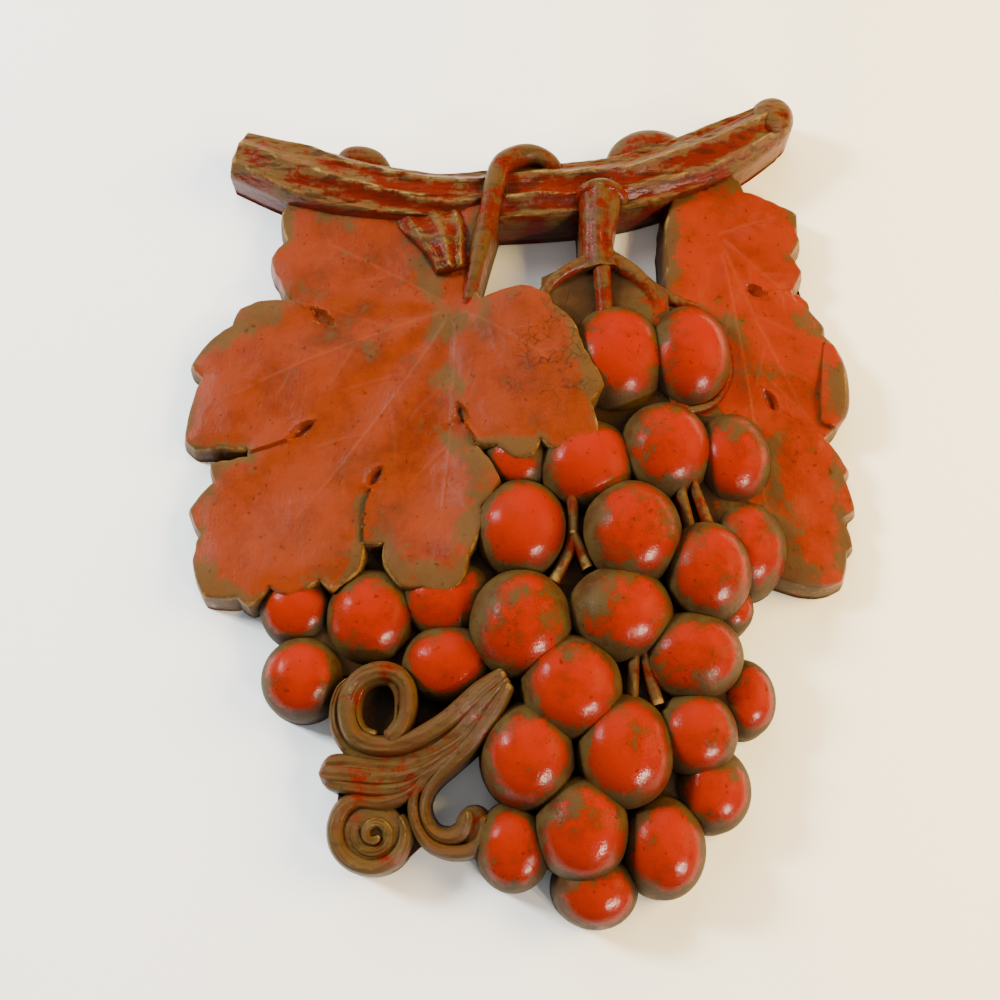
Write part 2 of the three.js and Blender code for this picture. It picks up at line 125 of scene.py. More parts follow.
def through(values, t):
    """A smooth run through evenly spaced values: each stretch is the cubic whose slope at
    every value is half the step between that value's neighbours."""
    values = np.asarray(values, float)
    place = np.clip(t, 0.0, 1.0) * (len(values) - 1)
    i = np.minimum(np.floor(place).astype(int), len(values) - 2)
    u = place - i
    if values.ndim > 1:
        u = u[:, None]
    p0, p1 = values[np.maximum(i - 1, 0)], values[i]
    p2, p3 = values[i + 1], values[np.minimum(i + 2, len(values) - 1)]
    s0, s1 = (p2 - p0) / 2, (p3 - p1) / 2
    return (2 * p1 - 2 * p2 + s0 + s1) * u**3 + (
        3 * p2 - 3 * p1 - 2 * s0 - s1
    ) * u**2 + s0 * u + p1


def closed_rings(loops):
    """Triangles between rings of equal count, with a fan to the middle of the first ring
    and of the last one. loops has the shape (rings, points, 3)."""
    rings, count = loops.shape[:2]
    points = np.vstack([loops.reshape(-1, 3), loops[0].mean(0), loops[-1].mean(0)])
    s, i = np.meshgrid(np.arange(rings - 1), np.arange(count), indexing="ij")
    a = (s * count + i).ravel()
    b = (s * count + (i + 1) % count).ravel()
    walls = np.vstack([np.stack([a, b, b + count], 1), np.stack([a, b + count, a + count], 1)])
    i = np.arange(count)
    after = (i + 1) % count
    last = (rings - 1) * count
    first_cap = np.stack([after, i, np.full(count, rings * count)], 1)
    last_cap = np.stack([last + i, last + after, np.full(count, rings * count + 1)], 1)
    return points, np.vstack([walls, first_cap, last_cap])


def add_form(points, triangles, finish):
    """Keeps a closed form, turned the right way round if its volume comes out negative."""
    corners = points[triangles]
    volume = np.einsum("ij,ij->i", corners[:, 0], np.cross(corners[:, 1], corners[:, 2])).sum()
    forms.append((points, triangles if volume > 0 else triangles[:, ::-1], finish))


def bar(line, half, front, shoulder, finish, steps=120, across=36, ends=(0.0, 0.0), relief=None):
    """A bar laid on the back along a line: x = line + side * q * half, and its front stands
    out to shoulder + (front - shoulder) * sin(turn)**0.8 + relief, as turn goes over its
    arch. shoulder may differ below and above the line. ends rounds the two ends off."""
    t = np.linspace(0.0, 1.0, steps + 1)
    at = through(line, t)
    way = np.gradient(at, axis=0)
    way /= np.linalg.norm(way, axis=1, keepdims=True)
    side = np.stack([-way[:, 1], way[:, 0]], 1)
    length = np.concatenate([[0.0], np.cumsum(np.linalg.norm(np.diff(at, axis=0), axis=1))])
    round_off = np.ones(steps + 1)
    for radius, gone in ((ends[0], length), (ends[1], length[-1] - length)):
        if radius:
            round_off *= np.sqrt(
                np.clip(1.0 - (1.0 - np.minimum(gone / radius, 1.0)) ** 2, 0.02, 1.0)
            )
    width = through(half, t) * round_off
    shoulders = np.asarray(shoulder, float)
    if shoulders.ndim == 1:
        shoulders = np.stack([shoulders, shoulders], 1)
    low = through(shoulders, t)
    turn = np.linspace(0.0, math.pi, across + 1)[None, :]
    q = -np.cos(turn) * np.ones((steps + 1, 1))
    lower = low[:, :1] + (low[:, 1:] - low[:, :1]) * smooth(-1.0, 1.0, q)
    rise = (through(front, t)[:, None] - lower) * np.sqrt(round_off)[:, None]
    out = lower + rise * np.sin(turn) ** 0.8
    if relief is not None:
        out = out + relief(q, t[:, None], length[:, None]) * np.sin(turn) ** 0.5
    q = np.hstack([q[:, :1], q, q[:, -1:]]) * width[:, None]
    q[:, 0] -= SKIRT
    q[:, -1] += SKIRT
    out = np.hstack([np.full((steps + 1, 1), -BEHIND), out, np.full((steps + 1, 1), -BEHIND)])
    x = at[:, :1] + side[:, :1] * q
    z = at[:, 1:] + side[:, 1:] * q
    add_form(*closed_rings(np.stack([x, -out, z], 2)), finish)


def boss(x, z, wide, tall, shoulder, crown, finish, sides=46, rings=16, full=1.0, seed=0):
    """An oval dome: half-widths shrink with cos(turn)**full as it stands out from shoulder
    to crown with sin(turn)**full, uneven as modelled by hand, on walls down to the back."""
    around = np.linspace(0.0, 2 * math.pi, sides, endpoint=False)[None, :]
    turn = np.linspace(0.0, DOME_TURN, rings)[:, None]
    shrink = np.vstack([[[1 + SKIRT / wide]], np.cos(turn) ** full])
    out = np.vstack([[[-BEHIND]], shoulder + (crown - shoulder) * np.sin(turn) ** full])
    px = x + wide * shrink * np.cos(around)
    pz = z + tall * shrink * np.sin(around)
    uneven = sum(high * lumps(px, pz, size, first + seed) for high, size, first in UNEVEN)
    uneven = uneven * np.clip(out / crown, 0, 1)
    add_form(*closed_rings(np.stack([px, -(out + uneven), pz], 2)), finish)


def bark(q, t, length):
    """Sharp ridges round the arch that wander and break as they run along it, with finer
    streaks between them."""
    turn = np.arccos(np.clip(-q, -1.0, 1.0))
    along = length + 0 * q
    wander = 1.6 * lumps(along, turn * 14.0, 31.0, 3) + 0.7 * lumps(along, turn * 16.0, 9.0, 6)
    crests = 1.0 - 1.7 * np.abs(np.sin(0.5 * (turn * BARK_RIDGES + 0.03 * length + wander)))
    breaks = 0.75 + 0.45 * lumps(along, turn * 12.0, 17.0, 7)
    streaks = lumps(
        along * 0.3, turn * 24.0, 1.9, 4,
    ) * 0.5 + lumps(along, turn * 20.0, 2.6, 5) * 0.3
    grown = 0.3 + 0.7 * smooth(0.0, BARK_GROWS, along)
    return (BARK_HIGH * crests * breaks + STREAKS_HIGH * streaks) * grown


bar(
    [(-113.5, 14.5), (-88, 5), (-62, -3), (-30, -7.5), (2, -6), (34, -2.5), (60, 5.5), (84, 17),
     (105, 30)],
    [11, 13.5, 13, 11.8, 13, 13, 12.8, 12, 9],
    [18, 20, 20.5, BRANCH_FRONT, BRANCH_FRONT, BRANCH_FRONT, BRANCH_FRONT, 21, 19],
    [(9, 8), (11, 8), (12, 8), (13, 8), (15, 9), (15, 9), (15, 9), (12, 8), (9, 8)],
    BARK, steps=215, across=56, ends=(1.2, 5.0), relief=bark,
)
# The right end has swollen into a knob where a shoot was cut, and two old shoots show
# over the branch's top edge.
boss(102, 28.5, 9, 9.5, 14, 21, BARK, seed=1)
bar(
    [(-72, 9), (-69, 14.5), (-60, 13.5), (-54.5, 7)], [3.5, 4.8, 4.8, 4], [9, 12, 12, 10],
    [6, 8, 8, 6],
    STEM, steps=40, ends=(1, 1),
)
boss(53, 8.5, 18.5, 16.5, 12, 18, STEM, sides=72, seed=2)
# A stub of an old shoot hangs from the branch, over the leaf.
bar(
    [(-37, -4), (-35.5, -14), (-32, -22.5), (-28.5, -33), (-26.5, -42)],
    [14.5, 14, 11.4, 7.6, 5.8],
    [15, 17.5, 21.5, 23.2, 23.2], [11, 13.5, 17.5, 19, 19],
    BARK, steps=64, across=40, ends=(0, 0.8), relief=lambda q, t, length: 0.8 * bark(q, t, length),
)


# ---- the leaf's stalk and the bunch's stalk ---------------------------------------------
# Both are cast with the branch. The left leaf's stalk climbs over it and curls down behind.
# The bunch's stalk forks over it and parts into arches above the first grapes.
bar(
    [(-20.5, -56), (-18, -42.5), (-15, -29), (-12, -16), (-10, -5), (-7, 4), (-0.5, 9), (6, 10),
     (12, 7), (15, 1)],
    [2.8, 3.1, 3.5, 3.9, 4.2, 4.3, 4.2, 4, 4, 4],
    [18, 21.5, 24, 25.2, 25.5, 25, 23.5, 22, 20, 17],
    [15, 17.5, 19.5, 20.5, 21, 20, 18, 16, 14, 11],
    STEM, steps=170, across=22,
)


def sinews(q, t, length):
    """Soft cords that run along a stalk."""
    return 0.45 * np.cos(q * math.pi * 2.2 + 0.5) + 0.35 * lumps(length * 0.4, q * 9.0, 2.6, 14)


bar(
    [(20, -11.5), (25, -9), (31, -7.5), (37, -8.5), (42, -12)], [3, 4, 4.5, 4, 3],
    [20, 25, 26.5, 25, 20], [14, 16, 17, 16, 14], STEM, steps=50, across=24, ends=(2, 2),
)
bar(
    [(31, -8), (30.5, -18), (29.5, -29), (30.5, -41)], [9, 7.5, 6, 7.5],
    [26, 26, 24.5, 23], [17, 18, 18, 17], STEM, steps=80, across=44, relief=sinews,
)


def arch(line, half, front):
    """A thin round-topped strap, its shoulders 4 mm below its front."""
    bar(line, half, front, [out - 4 for out in front], STEM, steps=24 * len(line), across=16)


arch([(25, -38), (15.5, -43), (9, -50), (7, -60)], [3, 2.6, 2.6, 2.4], [22, 21, 19, 17])
arch([(34, -36), (44, -43), (50, -51), (52, -62)], [3.5, 3.4, 3, 2.5], [22, 21, 19, 17])
arch([(31, -38), (31.3, -48), (32, -60)], [3.6, 3.2, 3.4], [23, 22, 21])
arch(
    [(46, -45), (58, -52), (70, -57.5), (77.5, -69), (78, -83), (72, -94), (62, -98)],
    [3.5, 3, 2.2, 2, 2, 2, 2], [19, 17, 16, 15, 15, 16, 17],
)
# Short stems show in the gaps between the grapes.
for stem in (
    [(18, -129), (17.8, -148), (11, -163)], [(17.8, -145), (23.5, -158)],
    [(56.5, -124), (60.5, -144)],
    [(61, -124), (67.5, -143)], [(39.5, -180), (37.5, -205)], [(40, -181), (46.5, -206)],
):
    bar(stem, [1.9, 2.3], [21, 19.5], [17, 15], STEM, steps=16, across=12)


# ---- the grapes -------------------------------------------------------------------------
# Smooth oval domes, crowded and overlapping, those in the middle of the bunch standing out
# most. Each row is centre x, z, half-widths across and up, and how far its crown stands out.
GRAPE_DOME = 0.9  # dome's height over the mean of its half-widths
GRAPE_FULL = 0.92  # under 1, a dome is fuller than an oval's half
GRAPES = [
    (36, -76, 19.5, 22.5, 27.5), (63.5, -75, 17, 21.5, 26), (24, -118.5, 19, 18.5, 26.5),
    (53, -113, 17.5, 19, 28),
    (78, -115.5, 14.5, 18, 24), (-1, -115, 13.5, 14, 22), (-0.5, -143, 17.5, 19, 28),
    (39.5, -145, 18, 19.5, 32),
    (66, -159, 16, 18.5, 29), (82, -149, 15, 18.5, 21), (74, -171, 9.5, 10, 16),
    (-0.5, -178, 18.5, 20, 31),
    (34.5, -174, 19, 17.5, 30), (59.5, -189, 18, 16, 28), (-26, -167, 19, 17, 20),
    (-54.5, -174, 16.5, 18, 20),
    (-81.5, -170, 14, 14.5, 15.5), (-78, -196, 15, 15.2, 18.5), (-25.5, -191, 17.5, 14.5, 21.5),
    (16.5, -200, 18, 18.5, 31),
    (78, -203, 11.5, 14, 17), (59.5, -215.5, 14.5, 15, 25), (1.5, -223, 16.5, 18.5, 29),
    (34.5, -221.5, 17, 19.5, 30),
    (65, -234, 13.5, 15, 20), (-3.5, -253, 13, 15, 21), (19.5, -247, 16, 17.5, 28),
    (47, -253, 14.5, 17, 24),
    (24, -266.5, 14.5, 13, 20),
]
for seed, (x, z, wide, tall, crown) in enumerate(GRAPES):
    shoulder = max(crown - GRAPE_DOME * (wide + tall) / 2, 1.0)
    boss(x, z, wide, tall, shoulder, crown, RED, full=GRAPE_FULL, seed=seed)


# ---- the leaves -------------------------------------------------------------------------
# Two vine leaves cast in one with the rest, 8 mm proud at their toothed outer edges. The
# left one climbs to a lobe that lies over the bunch. Veins are drawn in with a tool.
EDGE = 8.5
DRAFT = 2.4  # spread of a leaf's wall between its front edge and the back
TOOTH_BOW = 0.045  # how far an outline bows between two corners, over their distance
RIM_STEP = 0.9  # between the points of an outline
RIM_UNEVEN = 0.3
RIM_CELL = 3.4
RIM_RINGS = (0.4, 0.95, 1.8)  # depths of the rings of points inside an outline
VEIN_ROWS = (-1.2, -0.5, 0.0, 0.5, 1.2)  # rows of points beside a vein
SEAM_ROWS = (-0.9, -0.3, 0.3, 0.9)
ROW_STEP = 1.5
EYE_RINGS = (0.25, 0.5, 0.75, 0.92, 1.06, 1.3)  # rings of points, over an eye's half sizes
CLOSEST = 0.45  # one point to a cell of this size keeps triangles from getting too small
WALL_RINGS = (0.35, 0.7, 1.0)  # rings down a leaf's wall, over its height
VEIN_STEPS = 15
SIDE_VEINS = np.arange(0.26, 0.9, 0.13)  # where they leave a main vein, over its length
SIDE_TURN = math.radians(46)
SIDE_CURL = math.radians(14)
SIDE_REACH = 0.42
SIDE_SIZE = 0.55
VEIN_RIDGE = 0.1
VEIN_GROOVE = 0.09
EYE_DEEP = 2.3
EYE_RIM = 0.35
LEAF = 3

LEFT_LEAF = [
    (-14, -10), (-50, 0), (-86, 2), (-95, -11), (-92.5, -23.5), (-98.5, -31), (-94.5, -41),
    (-90, -50),
    (-101, -49.5), (-109.5, -53), (-112, -59.5), (-121.5, -67), (-127, -75.5), (-122.5, -81.5),
    (-125.5, -91), (-126.5, -107.5), (-123, -110.5), (-113, -109.8), (-102.5, -111.4),
    (-102.5, -113.6), (-109, -115.2), (-116.5, -116), (-114.5, -123), (-123, -134), (-118, -143.5),
    (-119.5, -154), (-114.5, -167.5),
    (-102, -168), (-98, -171), (-90.5, -164.5), (-83, -168), (-72.5, -162), (-67.5, -166),
    (-58, -158),
    (-57, -149), (-50, -149), (-49.5, -156), (-43.5, -164.5), (-35, -165.5), (-29, -169),
    (-21.5, -163.5),
    (-19.5, -154), (-13.5, -141), (-14.5, -136.5), (-8, -126), (-10, -121), (-17, -112),
    (-9, -113), (-2.5, -118.5), (4, -117), (6.5, -111.5), (15, -116.5), (27.5, -109.5), (25, -97),
    (30, -91), (23, -77), (18.5, -64), (12, -58), (10, -53.5), (0, -49.5), (-15.5, -53),
    (-19, -48),
]
RIGHT_LEAF = [
    (60, -8), (70, 6), (88, 3), (90, -2), (98.5, -5), (104, -8), (111, -11.5), (110, -18.5),
    (111, -23.5), (107, -30), (110.5, -37), (106.5, -45), (112.5, -49.5), (113, -53),
    (118.5, -60.5), (117.5, -63.5), (122, -70), (122.5, -90), (120, -99.5), (114.5, -106.5),
    (122.5, -119), (120.5, -121), (123.5, -134), (119, -137), (121.5, -147.5), (119, -150),
    (116, -161.5), (106, -164), (90, -159), (66, -140), (56, -100), (57, -40),
]


def scalloped(corners, step):
    """Points about every step mm along an outline from tooth to notch to tooth. Each stretch
    is an arc of a parabola that bows outwards by TOOTH_BOW of its length. Anticlockwise."""
    a = np.array(corners, float)
    b = np.roll(a, -1, 0)
    if (a[:, 0] * b[:, 1] - b[:, 0] * a[:, 1]).sum() < 0:
        a = a[::-1]
        b = np.roll(a, -1, 0)
    edge = []
    for p, r in zip(a, b):
        bend = (p + r) / 2 + 2 * TOOTH_BOW * np.array([r[1] - p[1], p[0] - r[0]])
        u = np.linspace(0, 1, max(2, round(np.hypot(*(r - p)) / step)) + 1)[:-1, None]
        edge.append(p * (1 - u) ** 2 + 2 * bend * u * (1 - u) + r * u**2)
    return np.vstack(edge)


def near_line(x, z, line):
    """Distance from each point to a broken line, which side of it the point lies on (+1 left),
    and how far along the line, 0 to 1, its nearest place is."""
    line = np.asarray(line, float)
    best = np.full(x.shape, 1e9)
    side = np.zeros(x.shape)
    along = np.zeros(x.shape)
    for i, (p, r) in enumerate(zip(line[:-1], line[1:])):
        d = r - p
        u = np.clip(((x - p[0]) * d[0] + (z - p[1]) * d[1]) / (d @ d), 0, 1)
        ex, ez = x - p[0] - u * d[0], z - p[1] - u * d[1]
        dist = np.hypot(ex, ez)
        nearer = dist < best
        best = np.where(nearer, dist, best)
        side = np.where(nearer, np.sign(d[0] * ez - d[1] * ex), side)
        along = np.where(nearer, (i + u) / (len(line) - 1), along)
    return best, side, along


def inside(x, z, edge):
    """Whether each point lies in the outline, by counting the edges to its right."""
    within = np.zeros(x.shape, bool)
    for p, r in zip(edge, np.roll(edge, -1, 0)):
        if p[1] == r[1]:
            continue
        crosses = (p[1] > z) != (r[1] > z)
        within ^= crosses & (x < (r[0] - p[0]) * (z - p[1]) / (r[1] - p[1]) + p[0])
    return within


def vein_lines(foot, mains):
    """Main veins as gently bent lines from the foot, (angle, length, bend), and side veins
    that leave them in turn to either side and curve towards the tip."""
    lines = []
    for angle, reach, bend in mains:
        s = np.linspace(0, 1, VEIN_STEPS + 1)
        a = math.radians(angle) + math.radians(bend) * (s - 0.5)
        step = reach / VEIN_STEPS
        main = np.array(foot) + np.stack([np.cumsum(np.cos(a)), np.cumsum(np.sin(a))], 1) * step
        lines.append((main, 1.0))
        for k, place in enumerate(SIDE_VEINS):
            turn = 1 if k % 2 else -1
            i = int(place * VEIN_STEPS)
            b = a[i] + turn * SIDE_TURN - turn * SIDE_CURL * s
            branch = reach * SIDE_REACH * (1.05 - place)
            way = np.stack([np.cumsum(np.cos(b)), np.cumsum(np.sin(b))], 1)
            lines.append((main[i] + way * branch / VEIN_STEPS, SIDE_SIZE))
    return lines


def filled(edge, free):
    """Triangles that fill an outline and meet in all its points and in the free ones inside
    it: the new points, the triangles, and where each point of the outline has gone."""
    count = len(edge)
    loop = [(i, (i + 1) % count) for i in range(count)]
    every = np.vstack([edge, free]).tolist()
    flat, _, faces, origin, _, _ = delaunay_2d_cdt(every, loop, [], 1, 1e-4, True)
    flat = np.array([tuple(point) for point in flat])
    faces = np.array(faces)
    middle = flat[faces].mean(1)
    faces = faces[inside(middle[:, 0], middle[:, 1], edge)]
    place = np.zeros(count, int)
    for new, olds in enumerate(origin):
        for old in olds:
            if old < count:
                place[old] = new
    return flat, faces, place


def leaf(corners, surface, veins, seams, eyes, spacing):
    """A closed leaf: its outline, three rings inside it, rows of points beside veins and
    seams and a staggered grid are joined into triangles, and each point stands out by
    surface(). The wall below spreads by DRAFT down to the back."""
    edge = scalloped(corners, RIM_STEP)
    edge += RIM_UNEVEN * np.stack([lumps(*edge.T, RIM_CELL, seed) for seed in (21, 22)], 1)
    ahead = np.roll(edge, -2, 0) - np.roll(edge, 2, 0)
    ahead /= np.linalg.norm(ahead, axis=1, keepdims=True)
    away = np.stack([ahead[:, 1], -ahead[:, 0]], 1)
    ring = np.vstack([edge, edge[:1]])
    sets = []
    for depth in RIM_RINGS:
        p = edge - away * depth
        gap = near_line(p[:, 0], p[:, 1], ring)[0]
        sets.append(p[(gap > 0.9 * depth) & inside(p[:, 0], p[:, 1], edge)])
    rows = [(line, VEIN_ROWS) for line, _ in veins]
    rows += [(np.array(line, float), SEAM_ROWS) for line, _, _ in seams]
    for line, offsets in rows:
        s = np.concatenate([[0], np.cumsum(np.hypot(*np.diff(line, axis=0).T))])
        u = np.arange(0, s[-1], ROW_STEP)
        p = np.stack([np.interp(u, s, line[:, 0]), np.interp(u, s, line[:, 1])], 1)
        w = np.gradient(p, axis=0)
        w /= np.linalg.norm(w, axis=1, keepdims=True)
        n = np.stack([-w[:, 1], w[:, 0]], 1)
        sets.append(np.vstack([p + n * o for o in offsets]))
    for x, z, long, wide, turn in eyes:
        around = np.linspace(0, 2 * math.pi, 22, endpoint=False)
        for size in EYE_RINGS:
            u, v = long * size * np.cos(around), wide * size * np.sin(around)
            c, s = math.cos(math.radians(turn)), math.sin(math.radians(turn))
            sets.append(np.stack([x + u * c - v * s, z + u * s + v * c], 1))
    low, high = edge.min(0), edge.max(0)
    up = spacing * 0.866  # rows of equal-sided triangles
    gx, gz = np.meshgrid(np.arange(low[0], high[0], spacing), np.arange(low[1], high[1], up))
    gx = gx + (np.arange(gx.shape[0]) % 2)[:, None] * spacing / 2
    sets.append(np.stack([gx.ravel(), gz.ravel()], 1))
    free = np.vstack(sets)
    free = free[inside(free[:, 0], free[:, 1], edge)]
    free = free[near_line(free[:, 0], free[:, 1], ring)[0] > 0.3]
    cell = np.round(free / CLOSEST).astype(int)
    free = free[np.unique(cell[:, 0] * 10007 + cell[:, 1], return_index=True)[1]]
    count = len(edge)
    flat, top, place = filled(edge, free)
    x, z = flat[:, 0], flat[:, 1]
    gap = near_line(x, z, ring)[0]
    out = surface(x, z, gap)
    start = len(flat)
    walls = []
    rim = out[place]
    for share in WALL_RINGS:
        spread = edge + away * DRAFT * share
        depth = rim * (1 - share) - BEHIND * (share == 1.0)
        walls.append(np.stack([spread[:, 0], -depth, spread[:, 1]], 1))
    points = np.vstack([np.stack([x, -out, z], 1), *walls])
    upper = [place, *(start + k * count + np.arange(count) for k in range(len(WALL_RINGS)))]
    triangles = [top]
    for u, v in zip(upper[:-1], upper[1:]):
        un, vn = np.roll(u, -1), np.roll(v, -1)
        triangles += [np.stack([u, v, vn], 1), np.stack([u, vn, un], 1)]
    _, under, gone = filled(edge, np.zeros((0, 2)))
    back = np.argsort(gone)[under]
    triangles.append(start + 2 * count + back[:, ::-1])
    add_form(points, np.vstack(triangles), LEAF)


def rounded_edge(gap):
    """How far the front falls towards the outline: a quarter round of 1.3 mm and a longer,
    shallow fall over 7 mm."""
    r = 1.3
    near = np.clip(r - gap, 0, r)
    return r - np.sqrt(r * r - near * near) + 0.7 * (1 - smooth(0.0, 7.0, gap))


def carved(x, z, veins, seams, eyes):
    """Veins are fine ridges between two shallow grooves. A seam lifts the lobe on its left.
    An eye is an almond-shaped pit with a raised rim."""
    out = np.zeros(x.shape)
    for line, size in veins:
        gap, _, along = near_line(x, z, line)
        fade = 1 - smooth(0.55, 1.0, along)
        crest = VEIN_RIDGE * np.exp(-((gap / 0.45) ** 2))
        groove = VEIN_GROOVE * np.exp(-(((gap - 1.1) / 0.6) ** 2))
        out += size * fade * (crest - groove)
    for line, lift, reach in seams:
        gap, side, along = near_line(x, z, line)
        ends = smooth(0.0, 0.06, along) * (1 - smooth(0.9, 1.0, along))
        out += lift * ends * smooth(-0.3, 0.3, gap * side) * np.exp(-gap / reach)
        out -= 0.5 * lift * ends * smooth(0.0, 0.3, -gap * side) * np.exp(-gap / 1.5)
    for ex, ez, long, wide, turn in eyes:
        c, s = math.cos(math.radians(turn)), math.sin(math.radians(turn))
        u = (x - ex) * c + (z - ez) * s
        v = -(x - ex) * s + (z - ez) * c
        pointed = 1 - 0.35 * np.clip(np.abs(u) / long, 0, 1)
        r = np.sqrt((u / long) ** 2 + (v / (wide * pointed)) ** 2)
        out += -EYE_DEEP * (1 - smooth(0.4, 1.0, r)) + EYE_RIM * np.exp(
            -(((r - 1.12) / 0.14) ** 2)
        )
    return out


def quilt(x, z, foot, angles):
    """The front sinks into each main vein and swells by 1 mm between two."""
    away = np.hypot(x - foot[0], z - foot[1])
    angle = np.degrees(np.arctan2(z - foot[1], x - foot[0])) % 360
    off = np.min([np.abs((angle - a + 540) % 360 - 180) for a in angles], axis=0)
    return 1.0 * smooth(0, 1, off / 18) * smooth(0, 18, away)


LEFT_FOOT = (-25.5, -56)
LEFT_VEINS = vein_lines(
    LEFT_FOOT, [(150, 72, 6), (203, 98, 14), (235, 112, -8), (266, 104, -10), (322, 58, -16)],
)
LEFT_SEAMS = [
    ([(-90.5, -49.5), (-86, -52), (-80, -55)], -0.9, 6.0),
    ([(-102, -112.5), (-95, -110.5), (-87, -107.5)], 1.0, 7.0),
    ([(-57, -149), (-57.5, -141), (-57, -133), (-55, -127)], -1.5, 6.0),
    ([(-16, -112), (-19.5, -106), (-22, -101)], -1.8, 7.0),
]
LEFT_EYES = [
    (-77, -57.5, 7, 2.6, -35), (-82, -104, 6.5, 2.6, 32), (-54, -123, 5, 2.8, 55),
    (-22, -99.5, 5, 2.2, -65),
]


LEFT_LUMPS = ((0.7, 19.0, 6), (0.35, 9.0, 7), (0.08, 3.1, 8))  # height, cell size, seed


def left_front(x, z, gap):
    """It rises by 0.07 mm a mm from the left edge, by 6.5 mm more to the lobe over the bunch
    and by 4 mm more to the lower tips, with a swelling between each two main veins."""
    climb = 0.07 * (x + 125) + 6.5 * smooth(-40, 8, x) + 4 * smooth(125, 160, -z)
    angles = (150, 187, 226, 262, 305)
    out = EDGE + climb + quilt(x, z, LEFT_FOOT, angles) - rounded_edge(gap)
    out = out + carved(x, z, LEFT_VEINS, LEFT_SEAMS, LEFT_EYES)
    for high, size, seed in LEFT_LUMPS:
        out = out + high * lumps(x, z, size, seed)
    return out


LEAF_SPACING = 2.4
leaf(LEFT_LEAF, left_front, LEFT_VEINS, LEFT_SEAMS, LEFT_EYES, LEAF_SPACING)

RIGHT_FOOT = (78, -22)
RIGHT_VEINS = vein_lines(RIGHT_FOOT, [(20, 30, 4), (318, 60, 8), (292, 92, 8), (275, 136, -6)])
RIGHT_EYES = [(91.5, -46.5, 5, 2.4, -30), (94, -92, 5.5, 2.8, -55)]
RIGHT_SEAMS = [
    ([(106.5, -45), (101, -46), (95, -47)], 1.0, 6.0),
    ([(114.5, -106.5), (106, -101), (97, -95)], 1.2, 6.0),
]


RIGHT_LUMPS = ((0.9, 19.0, 11), (0.55, 9.0, 9), (0.1, 3.1, 10))


def right_front(x, z, gap):
    """It falls by 0.09 mm a mm towards the right edge, with a swelling between veins."""
    angles = (20, 320, 290, 262)
    out = EDGE + 0.09 * (125 - x) + quilt(x, z, RIGHT_FOOT, angles) - rounded_edge(gap)
    out = out + carved(x, z, RIGHT_VEINS, RIGHT_SEAMS, RIGHT_EYES)
    for high, size, seed in RIGHT_LUMPS:
        out = out + high * lumps(x, z, size, seed)
    return out


leaf(RIGHT_LEAF, right_front, RIGHT_VEINS, RIGHT_SEAMS, RIGHT_EYES, LEAF_SPACING)

# Its right edge curls over as a short roll.
bar(
    [(118.5, -67), (119.5, -76.5), (119.5, -86), (118.5, -95), (115.5, -102)],
    [2, 4.6, 5.6, 5.4, 3],
    [11, 12.5, 13, 13, 12], [(10, 7), (12, 8), (12.5, 8), (12.5, 8), (11, 8)], LEAF, steps=50,
    across=20, ends=(3, 1),
)


# ---- the scroll -------------------------------------------------------------------------
# A fluted tendril leaves the bunch at the lower left and splits into two curls, a blunt leaf
# tip and a hook that comes back to the bunch.
SCROLL = 4


def grooves(q, t, length):
    """Fine grooves that run along a flute, as drawn with a comb."""
    return 0.22 * np.cos(q * math.pi * 3.2 + 0.6) + 0.3 * lumps(length * 0.3, q * 8.0, 2.1, 12)


def flute(line, half, front, fall=4.0, across=20, steps=0, end=1.5):
    """A rounded flute whose shoulders lie a fall below its front."""
    bar(line, half, front, [out - fall for out in front], SCROLL,
        steps=steps or 9 * len(line), across=across, ends=(1.5, end), relief=grooves)


# the ring: two flutes of the strap run under it and up its left side, and the inner one goes
# round and back to the strap; a thin rim lines its pit
flute(
    [(-6, -195.5), (-14.5, -201.5), (-25.5, -211), (-35.5, -217), (-43.5, -219.5), (-52, -219.3),
     (-58, -216),
     (-60.5, -210), (-60.3, -203.5), (-57, -197.8), (-51, -194.8), (-45, -195.2), (-40.8, -198.8),
     (-39.6, -204),
     (-40.2, -209.5), (-42.5, -214.5), (-47, -218)],
    [2.6, 3.6, 3.6, 3.6, 3.6, 3.6, 3.6, 3.6, 3.6, 3.6, 3.6, 3.4, 3.1, 3, 3, 3.2, 3.4],
    [25, 24, 22.5, 21, 19.5, 19, 19, 19.5, 20.5, 21, 21.5, 21.5, 21.5, 21, 20.5, 20, 19], fall=6,
    across=28,
)
flute(
    [(-5, -197.5), (-13, -205.5), (-22.5, -215), (-33, -221.5), (-43, -224), (-52, -224),
     (-59.5, -221),
     (-64, -214.5), (-65, -207.5), (-63.4, -201), (-60, -197)],
    [2.2, 3.2, 3.2, 3, 3, 2.8, 2.6, 2.6, 2.4, 2.2, 1.6],
    [24.5, 23.5, 21, 18.5, 16, 15, 15, 15.5, 16.5, 17, 17], fall=5,
)
flute(
    [(-50, -216), (-54.5, -214.5), (-57, -210.5), (-57.3, -205.5), (-55.8, -200.8),
     (-51.8, -198), (-47, -198),
     (-43.7, -201.5), (-43, -206.5), (-43.5, -211.5), (-46.5, -215.5)],
    [1.5] * 11, [17, 17, 17, 17, 17.5, 18, 18, 18, 17.5, 17.5, 17.5], fall=4, across=14, steps=70,
)
